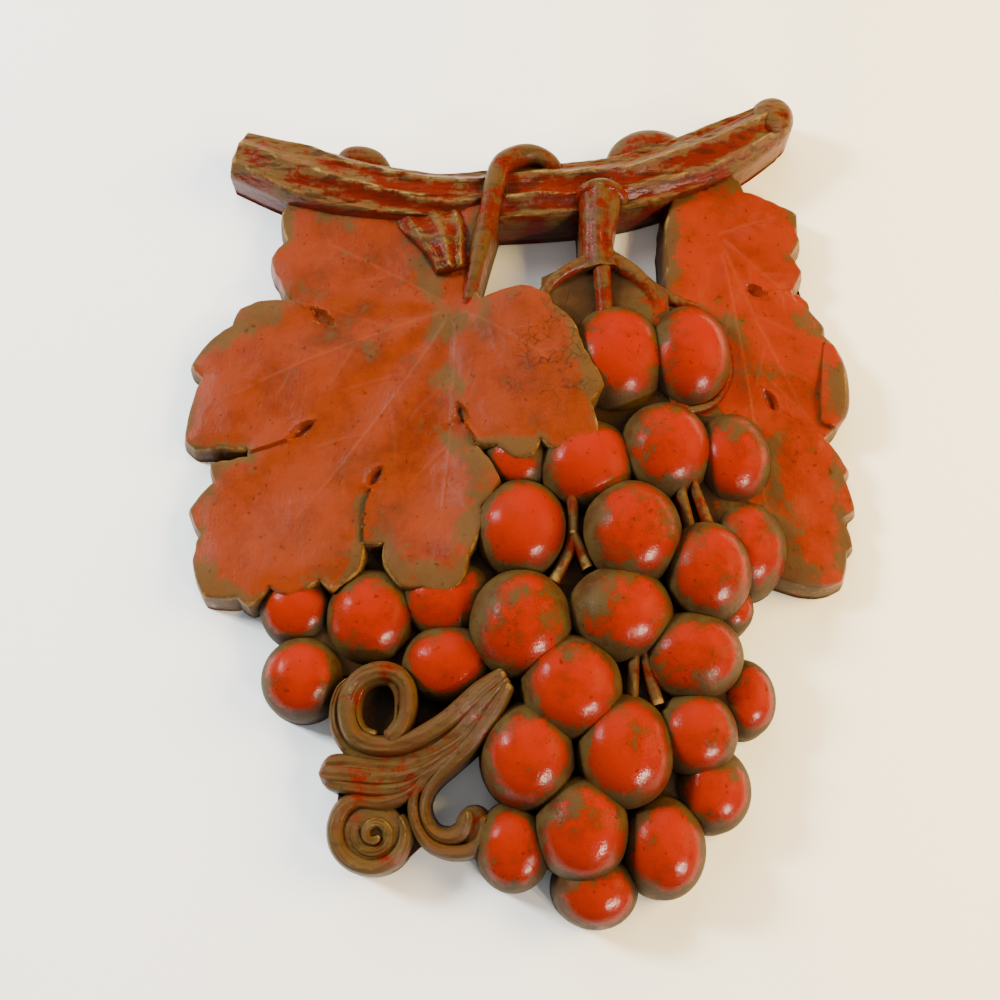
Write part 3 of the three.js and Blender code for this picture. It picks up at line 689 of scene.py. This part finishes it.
# the blunt tip: three flutes side by side, which end in a rounded lump
flute([(-12, -208), (-20.5, -217), (-30.5, -223), (-41, -226.5), (-51, -226.3), (-60, -225.2),
       (-69, -225.6)],
      [2.6, 3, 3, 3, 3, 3.2, 3], [22.5, 21, 18.5, 16.5, 15.5, 15, 13.5], end=4)
flute([(-21.5, -219), (-30, -225), (-38.5, -229), (-47, -230.5), (-57, -229.6), (-70.3, -228.5)],
      [2.6, 2.8, 3, 3, 3.2, 3.6], [20.5, 18.5, 17, 16, 16, 14], end=4)
flute([(-25, -223), (-32.5, -228.5), (-41, -233), (-50.5, -234), (-59, -233), (-68.5, -231.5)],
      [2.4, 2.8, 3, 3, 2.8, 2.8], [19.5, 17.5, 16, 15.5, 15, 13.5], end=4)
boss(-64.3, -228.3, 6.2, 6.4, 8, 12, SCROLL, sides=40, rings=8, seed=31)
# the snail: its outer turn, and a low dome with a groove that winds into it
flute(
    [(-28.5, -227.5), (-35, -232.5), (-42, -236.5), (-49, -238.3), (-56.5, -237.8),
     (-61.5, -240.5), (-63.7, -246.5),
     (-62.3, -253), (-57.5, -257.6), (-51, -259.5), (-45, -257.6), (-41, -253), (-40, -247),
     (-42.5, -242.5)],
    [3, 3.2, 3.2, 3.2, 3.2, 3.4, 3.4, 3.4, 3.4, 3.2, 3.2, 3, 2.8, 2.2],
    [18, 16.5, 15.5, 15, 14.5, 14.5, 14.5, 14.5, 14.5, 14.5, 14.5, 14.5, 14, 13], fall=6,
    across=26,
)
boss(-50.8, -248.5, 11, 10.4, 11.5, 13.5, SCROLL, sides=40, rings=10, seed=32)
wind = np.linspace(0, 1, 20)
angle = np.radians(150 + 560 * wind)
flute(
    np.array((-50.3, -248.8)) + ((6.6 - 5.4 * wind) * np.stack([np.cos(angle), np.sin(angle)])).T,
    2.1 - 0.8 * wind, 14 + 2.2 * wind, fall=1.8, across=12, steps=110,
)
# the hook: two flutes, which end round a bulb
flute(
    [(-13, -211.5), (-21.5, -220.5), (-29.5, -227), (-35.2, -231.5), (-37.3, -236.5),
     (-37.2, -242), (-35.5, -247.5),
     (-31.5, -252.3), (-25.5, -254.6), (-19, -254.3), (-14.6, -251.3), (-13, -246.5),
     (-13.6, -242.5)],
    [3, 3, 2.8, 2.4, 2.2, 2.2, 2.3, 2.5, 2.7, 2.8, 2.8, 2.6, 2.2],
    [22.5, 20, 18.5, 17, 16, 15.5, 15, 15, 15, 15, 15, 15, 14.5], fall=6,
)
flute(
    [(-4.6, -199), (-10.5, -209), (-16.8, -218), (-24.5, -225.5), (-31, -232), (-34, -238),
     (-33.6, -243.5),
     (-30.5, -248), (-25.5, -249.8), (-20.9, -248), (-18.9, -243.5), (-19.3, -240.8)],
    [2.4, 3.4, 3.4, 3, 2.4, 2.2, 2.4, 2.6, 3.2, 3.4, 2.6, 1.5],
    [25, 24, 22, 20, 17.5, 15.5, 14.5, 14, 14, 14.5, 15, 14.5], fall=6,
)
boss(-16.8, -246.5, 6.2, 7, 10, 13.5, SCROLL, sides=36, rings=8, seed=33)


# ---- the filling ------------------------------------------------------------------------
# Behind the bunch, the stalks and the scroll the mould leaves a low web, so that no light
# shows between the grapes.
WEB = 5


def web(outline, front):
    """A straight-walled plate, its outline given anticlockwise."""
    edge = np.array(outline, float)
    count = len(edge)
    _, faces, place = filled(edge, np.zeros((0, 2)))
    top = np.argsort(place)[faces]
    rings = [np.stack([edge[:, 0], np.full(count, y), edge[:, 1]], 1) for y in (-front, BEHIND)]
    points = np.vstack(rings)
    i = np.arange(count)
    after = (i + 1) % count
    walls = [np.stack([i, i + count, after + count], 1), np.stack([i, after + count, after], 1)]
    add_form(points, np.vstack([top, top[:, ::-1] + count, *walls]), WEB)


for outline, front in (
    ([(10, -80), (58, -80), (56, -50), (42, -37), (22, -37), (8, -44)], 18),
    ([(-8, -100), (-12, -135), (12, -175), (74, -175), (84, -150), (76, -100), (60, -70),
      (8, -70)], 14.5),
    ([(-22, -180), (-8, -215), (60, -225), (72, -205), (76, -150), (-20, -150)], 14.5),
    ([(0, -232), (0, -252), (30, -262), (56, -245), (60, -215), (-6, -215)], 12.5),
    ([(-74, -195), (-8, -195), (-10, -150), (-40, -140), (-64, -140), (-82, -160)], 9),
    ([(-60, -196), (-60, -218), (-42, -218), (-39, -204), (-44, -194)], 11),
    ([(-6, -196), (-15, -200), (-26, -210), (-38, -217), (-60, -223), (-62, -233), (-45, -238),
      (-36, -234),
      (-30, -230), (-22, -223), (-14, -214), (-8, -206)], 13),
    ([(-62, -222), (-65, -246), (-60, -259), (-44, -261), (-34, -252), (-31, -230), (-18, -216),
      (-8, -200), (-20, -190), (-60, -192), (-66, -205)], 8),
):
    web(outline, front)


# ---- the casting, joined ----------------------------------------------------------------
# All forms come out of one mould, so they are joined into one skin and the back is cut flat.
SHARP_FROM = math.radians(38)  # edges that bend more than this stay crisp


def mesh_object(name, points, triangles, finish):
    """Points in mm and triangles as a mesh object, with its finish kept as a face attribute."""
    mesh = bpy.data.meshes.new(name)
    mesh.vertices.add(len(points))
    mesh.vertices.foreach_set("co", (points * MM).astype(np.float32).ravel())
    mesh.loops.add(triangles.size)
    mesh.loops.foreach_set("vertex_index", triangles.astype(np.int32).ravel())
    mesh.polygons.add(len(triangles))
    mesh.polygons.foreach_set("loop_start", np.arange(0, triangles.size, 3, dtype=np.int32))
    mesh.update(calc_edges=True)
    kind = mesh.attributes.new("finish", "INT", "FACE")
    kind.data.foreach_set("value", np.full(len(triangles), finish, np.int32))
    return bpy.data.objects.new(name, mesh)


low, high = (np.array(corner) / MM for corner in cad_box)
spans = list(zip(low, high))
corners = np.array([[x, y, z] for x in spans[0] for y in spans[1] for z in spans[2]])
block = np.array([
    (0, 1, 3), (0, 3, 2), (4, 6, 7), (4, 7, 5), (0, 4, 5), (0, 5, 1),
    (2, 3, 7), (2, 7, 6), (0, 2, 6), (0, 6, 4), (1, 5, 7), (1, 7, 3),
])
room = mesh_object("room", corners, block, RED)
others = bpy.data.collections.new("forms")
bpy.context.scene.collection.children.link(others)
for i, (points, triangles, finish) in enumerate(forms):
    others.objects.link(mesh_object(f"form_{i}", points, triangles, finish))
raw = others.objects[0]
others.objects.unlink(raw)
bpy.context.collection.objects.link(raw)
bpy.context.collection.objects.link(room)
union = raw.modifiers.new("join", "BOOLEAN")
union.solver = "MANIFOLD"
union.operation = "UNION"
union.operand_type = "COLLECTION"
union.collection = others
cut = raw.modifiers.new("cut", "BOOLEAN")
cut.solver = "MANIFOLD"
cut.operation = "INTERSECT"
cut.object = room
skin = bpy.data.meshes.new_from_object(raw.evaluated_get(bpy.context.evaluated_depsgraph_get()))
skin.name = "plaque_casting"
for item in [raw, room, *others.objects]:
    bpy.data.objects.remove(item)
bpy.data.collections.remove(others)

casting = bpy.data.objects.new("plaque_casting", skin)
bpy.context.collection.objects.link(casting)
skin.shade_smooth()
skin.set_sharp_from_angle(angle=SHARP_FROM)

GRID = (340, 400)  # cells of 1 mm across and up, which hold the whole plaque
GRID_LEFT = 160
GRID_BELOW = 320
NARROW = 2.0  # blurs of the mean front, in cells
BROAD = 5.5
BEND_GAIN = 3.0


def spread(amount, sigma):
    """A Gaussian blur of a square grid along both ways, cut at three sigma."""
    reach = int(3 * sigma)
    weights = np.exp(-0.5 * (np.arange(-reach, reach + 1) / sigma) ** 2)
    weights /= weights.sum()
    for axis in (0, 1):
        amount = sum(w * np.roll(amount, k - reach, axis) for k, w in enumerate(weights))
    return amount


def front_heights(points, normals, sigma):
    """The mean front around each point: fronts are gathered in 1 mm cells and blurred, and
    the blurred sum is divided by the blurred count, so that empty cells don't weigh."""
    i = np.round(points[:, 0] + GRID_LEFT).astype(int)
    k = np.round(points[:, 2] + GRID_BELOW).astype(int)
    facing = np.clip(-normals[:, 1], 0, 1) + 1e-3
    total = np.zeros(GRID)
    count = np.zeros(GRID)
    np.add.at(total, (i, k), -points[:, 1] * facing)
    np.add.at(count, (i, k), facing)
    filled_cells = count > 0
    level = np.where(filled_cells, total / np.maximum(count, 1e-9), 0.0)
    weight = np.maximum(spread(filled_cells.astype(float), sigma), 1e-6)
    return (spread(level, sigma) / weight)[i, k]


def keep_value(name, values):
    """Keeps one number for each point of the casting, for its paint to read."""
    kept = skin.attributes.new(name, "FLOAT", "POINT")
    kept.data.foreach_set("value", values.astype(np.float32))


def read_all(items, name, width=1, kind=np.int32):
    """One value, or a row of width values, for each point, edge, corner or face."""
    values = np.empty(len(items) * width, kind)
    items.foreach_get(name, values)
    return values.reshape(-1, width) if width > 1 else values


total = len(skin.vertices)
at = read_all(skin.vertices, "co", 3, np.float32).astype(float) / MM
facing = read_all(skin.vertex_normals, "vector", 3, np.float32).astype(float)
ends = read_all(skin.edges, "vertices", 2)


def over_edges(values):
    """Each point's mean over the points it shares an edge with."""
    total_value = np.zeros(total)
    count = np.zeros(total)
    for p, r in ((ends[:, 0], ends[:, 1]), (ends[:, 1], ends[:, 0])):
        np.add.at(total_value, p, values[r])
        np.add.at(count, p, 1)
    return total_value / np.maximum(count, 1)


# The paint lies thin on sharp ridges and pools in hollows; the hollows and creases are also
# darkened as painted shade. How far a point lies below the mean front near it, and how
# sharply the skin bends there, is worked out for all points.
height = -at[:, 1]
nearby = front_heights(at, facing, NARROW)
hollow = np.clip((nearby - height) / 2.2, 0, 1)
deep = np.clip((front_heights(at, facing, BROAD) - height) / 7.0, 0, 1)
run = at[ends[:, 1]] - at[ends[:, 0]]
span = np.maximum(np.linalg.norm(run, axis=1), 0.15)
bend = np.zeros(total)
np.add.at(bend, ends[:, 0], np.einsum("ij,ij->i", facing[ends[:, 0]], -run) / span)
np.add.at(bend, ends[:, 1], np.einsum("ij,ij->i", facing[ends[:, 1]], run) / span)
links = np.bincount(ends.ravel(), minlength=total)
bend = bend / np.maximum(links, 1)
ridge = np.clip(over_edges(bend) * BEND_GAIN, 0, 1)
crease = np.clip(-over_edges(bend) * BEND_GAIN, 0, 1)
kinds = read_all(skin.attributes["finish"].data, "value")
loop_points = read_all(skin.loops, "vertex_index")
loop_kinds = np.repeat(kinds, read_all(skin.polygons, "loop_total"))


def share_of(*finishes):
    """How much of the skin round each point has one of these finishes, 0 to 1."""
    yes = np.isin(loop_kinds, finishes).astype(float)
    faces_round = np.maximum(np.bincount(loop_points, minlength=total), 1)
    return np.bincount(loop_points, yes, total) / faces_round


leafy = share_of(LEAF)
margin = np.zeros(total)
for corners in (LEFT_LEAF, RIGHT_LEAF):
    edge = scalloped(corners, 3.0)
    gap = near_line(at[:, 0], at[:, 2], np.vstack([edge, edge[:1]]))[0]
    margin = np.maximum(margin, np.exp(-gap / 3.5) * leafy)
    ridge = np.maximum(ridge, 0.75 * np.exp(-((gap / 0.7) ** 2)) * leafy)
# Where handling and the glaze have left the bronze bare: x, z, half-length, half-width,
# turn and how much.
WORN = [
    (-103, -60, 23, 6.5, 27, 0.55), (-93, -19, 10, 3, 85, 0.5), (-70, -9, 24, 5, -8, 0.4),
    (-35, -46, 18, 5, -68, 0.55),
    (-26, -63, 11, 5, 10, 0.5), (-25, -87, 8, 5, -40, 0.55), (-26, -111, 11, 3.5, -55, 0.5),
    (-111, -115, 14, 2.5, 4, 0.55),
    (-111, -162, 16, 6, -30, 0.6), (-117, -138, 13, 2, 80, 0.35), (-34, -161, 17, 6, -8, 0.65),
    (-20, -143, 11, 5, 60, 0.5),
    (25, -84, 15, 4, -72, 0.65), (-1, -114, 8, 3, -12, 0.8), (-15, -121, 12, 6, 60, 0.5),
    (-59, -139, 12, 2.5, 88, 0.5),
    (59, -28, 20, 4.5, 80, 0.5), (83, -64, 21, 3.5, -62, 0.45), (88, -78, 13, 7, 5, 0.35),
    (119, -85, 18, 6, -85, 0.45),
    (112, -62, 10, 4.5, -40, 0.4), (99, -158, 8, 5, -10, 0.8), (93, -119, 19, 3, -70, 0.4),
    (117, -130, 26, 2, -88, 0.3),
]
worn = np.zeros(total)
for x, z, long, wide, turn, much in WORN:
    c, s = math.cos(math.radians(turn)), math.sin(math.radians(turn))
    u = (at[:, 0] - x) * c + (at[:, 2] - z) * s
    v = (at[:, 2] - z) * c - (at[:, 0] - x) * s
    worn = np.maximum(worn, much * np.exp(-((u / long) ** 2) - (v / wide) ** 2))
veined = np.zeros(total)
for line, size in LEFT_VEINS + RIGHT_VEINS:
    gap, _, along = near_line(at[:, 0], at[:, 2], line)
    veined = np.maximum(veined, size * (1 - smooth(0.5, 1, along)) * np.exp(-((gap / 0.55) ** 2)))
# How far the red gives way to the bronze: by finish, where the leaves are worn, more on top of
# the wood, partly as painted top light, and down the sides of the grapes as painted shade.
BRONZED = {BARK: 0.42, SCROLL: 0.78, STEM: 0.36, WEB: 0.75}
berry = share_of(RED)
turned = 1 + facing[:, 1]  # 0 where the skin faces the room, 1 on an upright wall
bronzing_and_shade = sum(much * share_of(finish) for finish, much in BRONZED.items())
# painted top light: the wood's upward faces show more bronze and its undersides stay deep red,
# partly as wear
bronzing_and_shade += 0.22 * facing[:, 2] * share_of(BARK, STEM)
# painted shade: the grapes' sides turn to bronze as they turn away from the front
bronzing_and_shade += (0.12 + 1.3 * worn) * leafy + (0.2 + 0.55 * smooth(0.08, 0.52, turned)) * berry
# the grapes turn browner on their upper left
bronzing_and_shade += 0.42 * np.clip(0.8 * facing[:, 2] - 0.5 * facing[:, 0], 0, 1) * berry

sheltered = 0.5 + 0.5 * smooth(0.1, 0.5, -facing[:, 1])
# hollow: how far a point lies below its neighbours; the paint darkens it there, as pooled glaze
# and as painted shade
keep_value("hollow", np.maximum(hollow * 0.8, deep) * sheltered * (1 - 0.4 * leafy))
keep_value("ridge", ridge)
# steep: the grapes' sides, which the paint darkens as shade
keep_value("steep", smooth(0.03, 0.55, turned) * berry)
keep_value("raised", np.clip(0.5 + (height - nearby) / 1.5, 0, 1))
keep_value("crease", crease)
keep_value("margin", margin)
keep_value("veined", veined * leafy)
keep_value("leafy", leafy * (1 - 0.5 * smooth(35, 60, at[:, 0])))
keep_value("woody", share_of(BARK) + 0.4 * share_of(SCROLL) + 0.6 * share_of(STEM))
# the glaze has crazed on the left leaf's right lobe
from_middle = ((at[:, 0] - 12) / 20) ** 4, ((at[:, 2] + 76) / 24) ** 4
keep_value("crazed", leafy * np.exp(-from_middle[0] - from_middle[1]))
keep_value("bronzing_and_shade", bronzing_and_shade)
# the flat back is only brushed over
face_normals = read_all(skin.polygons, "normal", 3, np.float32)
backing = skin.attributes.new("backing", "FLOAT", "FACE")
backing.data.foreach_set("value", (face_normals[:, 1] > 0.9).astype(np.float32))


class Nodes:
    """Short ways to add and join shader nodes in one tree."""

    def __init__(self, tree):
        self.tree = tree

    def add(self, kind, **settings):
        node = self.tree.nodes.new(kind)
        for name, value in settings.items():
            setattr(node, name, value)
        return node

    def put(self, socket, value):
        if isinstance(value, bpy.types.NodeSocket):
            self.tree.links.new(value, socket)
        else:
            socket.default_value = value

    def attribute(self, name):
        return self.add("ShaderNodeAttribute", attribute_name=name).outputs["Fac"]

    def work(self, operation, a, b):
        node = self.add("ShaderNodeMath", operation=operation)
        self.put(node.inputs[0], a)
        self.put(node.inputs[1], b)
        return node.outputs[0]

    def plus(self, value, *more):
        for other in more:
            value = self.work("ADD", value, other)
        return value

    def minus(self, a, b):
        return self.work("SUBTRACT", a, b)

    def times(self, a, b):
        return self.work("MULTIPLY", a, b)

    def most(self, a, b):
        return self.work("MAXIMUM", a, b)

    def swing(self, value, amount):
        """How far a noise is from its mean of a half, times amount."""
        return self.times(self.minus(value, 0.5), amount)

    def step(self, value, low, high):
        node = self.add("ShaderNodeMapRange", interpolation_type="SMOOTHSTEP")
        self.put(node.inputs["Value"], value)
        self.put(node.inputs["From Min"], low)
        self.put(node.inputs["From Max"], high)
        return node.outputs["Result"]

    def noise(self, where, scale, detail=3.0, rough=0.6, stretch=None):
        if stretch:
            turn = self.add("ShaderNodeMapping")
            self.put(turn.inputs["Vector"], where)
            turn.inputs["Scale"].default_value = stretch
            where = turn.outputs["Vector"]
        node = self.add("ShaderNodeTexNoise")
        self.put(node.inputs["Vector"], where)
        node.inputs["Scale"].default_value = scale
        node.inputs["Detail"].default_value = detail
        node.inputs["Roughness"].default_value = rough
        return node.outputs["Fac"]

    def blend(self, amount, a, b):
        node = self.add("ShaderNodeMix", data_type="RGBA")
        self.put(node.inputs[0], amount)
        self.put(node.inputs[6], a)
        self.put(node.inputs[7], b)
        return node.outputs[2]


PAINT_RED = (0.172, 0.0075, 0.0001, 1)
PAINT_LEAF = (0.122, 0.0165, 0.0018, 1)
PAINT_DEEP = (0.055, 0.0048, 0.0008, 1)
PAINT_GRIME_AND_SHADE = (0.032, 0.0125, 0.003, 1)
PAINT_PALE = (0.19, 0.05, 0.018, 1)
PAINT_BRONZE = (0.08, 0.033, 0.008, 1)
PAINT_OLIVE = (0.05, 0.032, 0.0075, 1)
PAINT_UMBER = (0.014, 0.006, 0.002, 1)
PAINT_GOLD = (0.20, 0.11, 0.026, 1)
ALONG = (0.16, 1.0, 1.0)  # stretches a noise into streaks along the wood
FAR_ALONG = (0.09, 1.0, 1.0)

paint = bpy.data.materials.new("worn_red_paint")
paint.use_nodes = True
n = Nodes(paint.node_tree)
place = n.add("ShaderNodeTexCoord").outputs["Object"]
clouds = n.noise(place, 50.0, 4.0, 0.62)
mottle = n.noise(place, 120.0, 5.0, 0.65)
specks = n.noise(place, 620.0, 3.0, 0.7)
hollow_here = n.attribute("hollow")
leafy_here = n.attribute("leafy")
woody_here = n.attribute("woody")
steep_here = n.attribute("steep")
striped = n.times(n.minus(n.attribute("raised"), 0.45), woody_here)
streaked = n.times(n.minus(n.noise(place, 260.0, 3.0, 0.6, ALONG), 0.5), woody_here)
# red, browner on the leaves; deeper in clouds, in smudges on the leaves and on the wood, and
# deeper on the sides of the grapes as painted shade
red = n.blend(leafy_here, PAINT_RED, PAINT_LEAF)
deeper = n.times(n.step(clouds, 0.4, 0.66), n.step(mottle, 0.3, 0.66))
smudged = n.times(n.step(n.noise(place, 34.0, 5.0, 0.7), 0.5, 0.7), leafy_here)
deeper = n.times(n.most(deeper, n.times(smudged, 0.9)), 0.65)
deeper = n.most(deeper, n.times(n.step(woody_here, 0.0, 0.5), 0.85))
red = n.blend(n.most(deeper, n.times(steep_here, 0.85)), red, PAINT_DEEP)
# the bronze under it, greener on the leaves and in mottled patches
bronze = n.blend(leafy_here, PAINT_GRIME_AND_SHADE, PAINT_OLIVE)
bronze = n.blend(woody_here, bronze, PAINT_BRONZE)
bronze = n.blend(n.times(n.step(mottle, 0.38, 0.62), 0.6), bronze, PAINT_OLIVE)
# the red is thin over the bronze in speckled patches, and along the wood in streaks
amount = n.plus(
    n.attribute("bronzing_and_shade"),
    n.times(n.attribute("margin"), 0.6),
    n.times(hollow_here, 0.95),
    n.plus(n.times(striped, 1.1), n.times(streaked, 2.2)),
    n.swing(clouds, 2.0), n.swing(mottle, 1.6), n.swing(specks, 1.1),
)
bare = n.times(n.step(amount, 0.36, 0.8), n.minus(1.0, n.times(leafy_here, 0.22)))
colour = n.blend(bare, red, bronze)
colour = n.blend(n.times(n.attribute("veined"), 0.18), colour, PAINT_PALE)
# dark umber in hollows, creases and cracks of the wood: glaze that has pooled there, and painted
# shade
dark = n.plus(
    n.times(hollow_here, 0.95), n.times(n.attribute("crease"), 0.9), n.swing(mottle, 0.8),
)
dark = n.step(n.minus(dark, n.times(streaked, 1.2)), 0.5, 1.05)
colour = n.blend(n.times(dark, 0.75), colour, PAINT_UMBER)
cracked = n.step(n.noise(place, 520.0, 2.0, 0.5, FAR_ALONG), 0.54, 0.62)
colour = n.blend(n.times(n.times(cracked, woody_here), 0.6), colour, PAINT_UMBER)
# dust clouds the leaves, and dark flecks lie all over
dusty = n.times(n.step(n.noise(place, 24.0, 7.0, 0.78), 0.47, 0.72), leafy_here)
colour = n.blend(n.times(dusty, 0.5), colour, PAINT_GRIME_AND_SHADE)
flecks = n.step(n.noise(place, 430.0, 2.0, 0.5), 0.66, 0.73)
colour = n.blend(n.times(flecks, 0.55), colour, PAINT_UMBER)
# ridges are rubbed to bright metal
rub = n.plus(
    n.attribute("ridge"), n.swing(mottle, 1.6), n.swing(specks, 0.8), n.times(striped, 0.5),
)
colour = n.blend(n.times(n.step(rub, 0.5, 0.95), 0.7), colour, PAINT_GOLD)
# the crazed glaze: a net of fine wavering cracks
wobble = n.add("ShaderNodeTexNoise")
n.put(wobble.inputs["Vector"], place)
wobble.inputs["Scale"].default_value = 90.0
bent = n.add("ShaderNodeVectorMath", operation="MULTIPLY_ADD")
n.put(bent.inputs[0], wobble.outputs["Color"])
bent.inputs[1].default_value = (0.012, 0.012, 0.012)
n.put(bent.inputs[2], place)
cracks = n.add("ShaderNodeTexVoronoi", feature="DISTANCE_TO_EDGE")
n.put(cracks.inputs["Vector"], bent.outputs["Vector"])
cracks.inputs["Scale"].default_value = 230.0
crack = n.minus(1.0, n.step(cracks.outputs["Distance"], 0.015, 0.06))
crack = n.times(n.times(crack, n.step(mottle, 0.42, 0.6)), n.attribute("crazed"))
colour = n.blend(n.times(crack, 0.7), colour, PAINT_UMBER)
brushed = n.blend(n.step(mottle, 0.35, 0.65), PAINT_GRIME_AND_SHADE, PAINT_OLIVE)
colour = n.blend(n.attribute("backing"), colour, brushed)
shader = n.tree.nodes["Principled BSDF"]
n.put(shader.inputs["Base Color"], colour)
shader.inputs["Specular IOR Level"].default_value = 0.32
dullness = n.plus(
    0.2, n.times(woody_here, 0.12), n.times(steep_here, 0.22), n.times(leafy_here, 0.17),
    n.times(n.step(amount, 0.3, 0.9), 0.24),
)
n.put(shader.inputs["Roughness"], dullness)
bump = n.add("ShaderNodeBump")
bump.inputs["Strength"].default_value = 0.5
bump.inputs["Distance"].default_value = 0.0006
wrinkles = n.times(n.noise(place, 210.0, 5.0, 0.7, (1.0, 1.0, 0.45)), leafy_here)
relief = n.plus(mottle, wrinkles, n.times(specks, 0.35), n.times(streaked, 1.6))
n.put(bump.inputs["Height"], relief)
n.put(shader.inputs["Normal"], bump.outputs["Normal"])
skin.materials.clear()
skin.materials.append(paint)
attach(casting, "root")
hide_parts("plaque")


# ---- the wall and the light -------------------------------------------------------------
# The plaque hangs on a pale painted wall in a room: a window on the left, soft light from
# above, a warmer room on the right and two small lamps low on the right.
WALL_SIDE = 1.4
WALL_LOW = -1.5
WALL_HIGH = 1.2
WALL_BEHIND = 0.0005
WALL_PAINT = (0.84, 0.845, 0.835, 1)
# painted warm light on the wall's right side
WALL_WARM_LIGHT_PAINT = (0.86, 0.81, 0.65, 1)

wall_corners = [
    (x, WALL_BEHIND, z)
    for x, z in (
        (-WALL_SIDE, WALL_LOW), (WALL_SIDE, WALL_LOW), (WALL_SIDE, WALL_HIGH),
        (-WALL_SIDE, WALL_HIGH),
    )
]
wall_mesh = bpy.data.meshes.new("wall")
wall_mesh.from_pydata(wall_corners, [], [(0, 1, 2, 3)])
wall = bpy.data.objects.new("wall", wall_mesh)
bpy.context.collection.objects.link(wall)
wall_paint = bpy.data.materials.new("pale_wall")
wall_paint.use_nodes = True
w = Nodes(wall_paint.node_tree)
wall_shader = w.tree.nodes["Principled BSDF"]
# painted warm light: the wall's colour turns cream towards the right, where the warm room light
# falls
across = w.add("ShaderNodeSeparateXYZ")
w.put(across.inputs[0], w.add("ShaderNodeTexCoord").outputs["Object"])
painted_warm_light = w.step(across.outputs["X"], -0.06, 0.16)
w.put(wall_shader.inputs["Base Color"], w.blend(painted_warm_light, WALL_PAINT, WALL_WARM_LIGHT_PAINT))
wall_shader.inputs["Roughness"].default_value = 0.8
# only its front is there, and not for light that leaves the plaque's back, half a millimetre
# away, so that the back can be seen too
front_only = w.minus(1.0, w.add("ShaderNodeNewGeometry").outputs["Backfacing"])
far_enough = w.work("GREATER_THAN", w.add("ShaderNodeLightPath").outputs["Ray Length"], 0.004)
w.put(wall_shader.inputs["Alpha"], w.times(front_only, far_enough))
wall_mesh.materials.append(wall_paint)

world = bpy.data.worlds.new("room_light")
world.use_nodes = True
world.node_tree.nodes["Background"].inputs["Color"].default_value = (0.9, 0.95, 1.0, 1)
world.node_tree.nodes["Background"].inputs["Strength"].default_value = 0.5
world.cycles_visibility.glossy = False
bpy.context.scene.world = world


def area_light(name, place, target, size, power, colour, mirrored=True):
    """A square soft light at place, turned towards target. One that isn't mirrored stands
    for light that reaches the plaque from all over the room."""
    data = bpy.data.lights.new(name, "AREA")
    data.size = size
    data.energy = power
    data.color = colour
    light = bpy.data.objects.new(name, data)
    light.location = place
    way = Vector(target) - Vector(place)
    light.rotation_euler = way.to_track_quat("-Z", "Y").to_euler()
    light.visible_glossy = mirrored
    bpy.context.collection.objects.link(light)


MIDDLE = (0.0, 0.0, -0.12)
area_light("window", (-1.45, -0.92, 0.48), MIDDLE, 0.34, 88, (0.92, 0.96, 1.0), False)
area_light("pane", (-1.3, -0.95, 0.55), MIDDLE, 0.13, 7, (0.92, 0.96, 1.0))
area_light("ceiling", (-0.55, -0.95, 1.75), MIDDLE, 2.4, 108, (0.98, 0.98, 0.97), False)
area_light("room", (1.15, -0.65, 0.05), (0.35, 0.0, -0.12), 0.8, 72, (1.0, 0.68, 0.22), False)
for side in (0.0, 0.15):
    area_light(
        "lamp", (0.69 + side, -0.72, -1.01 + side * 0.6), MIDDLE, 0.055, 7.5, (1.0, 0.82, 0.62),
    )
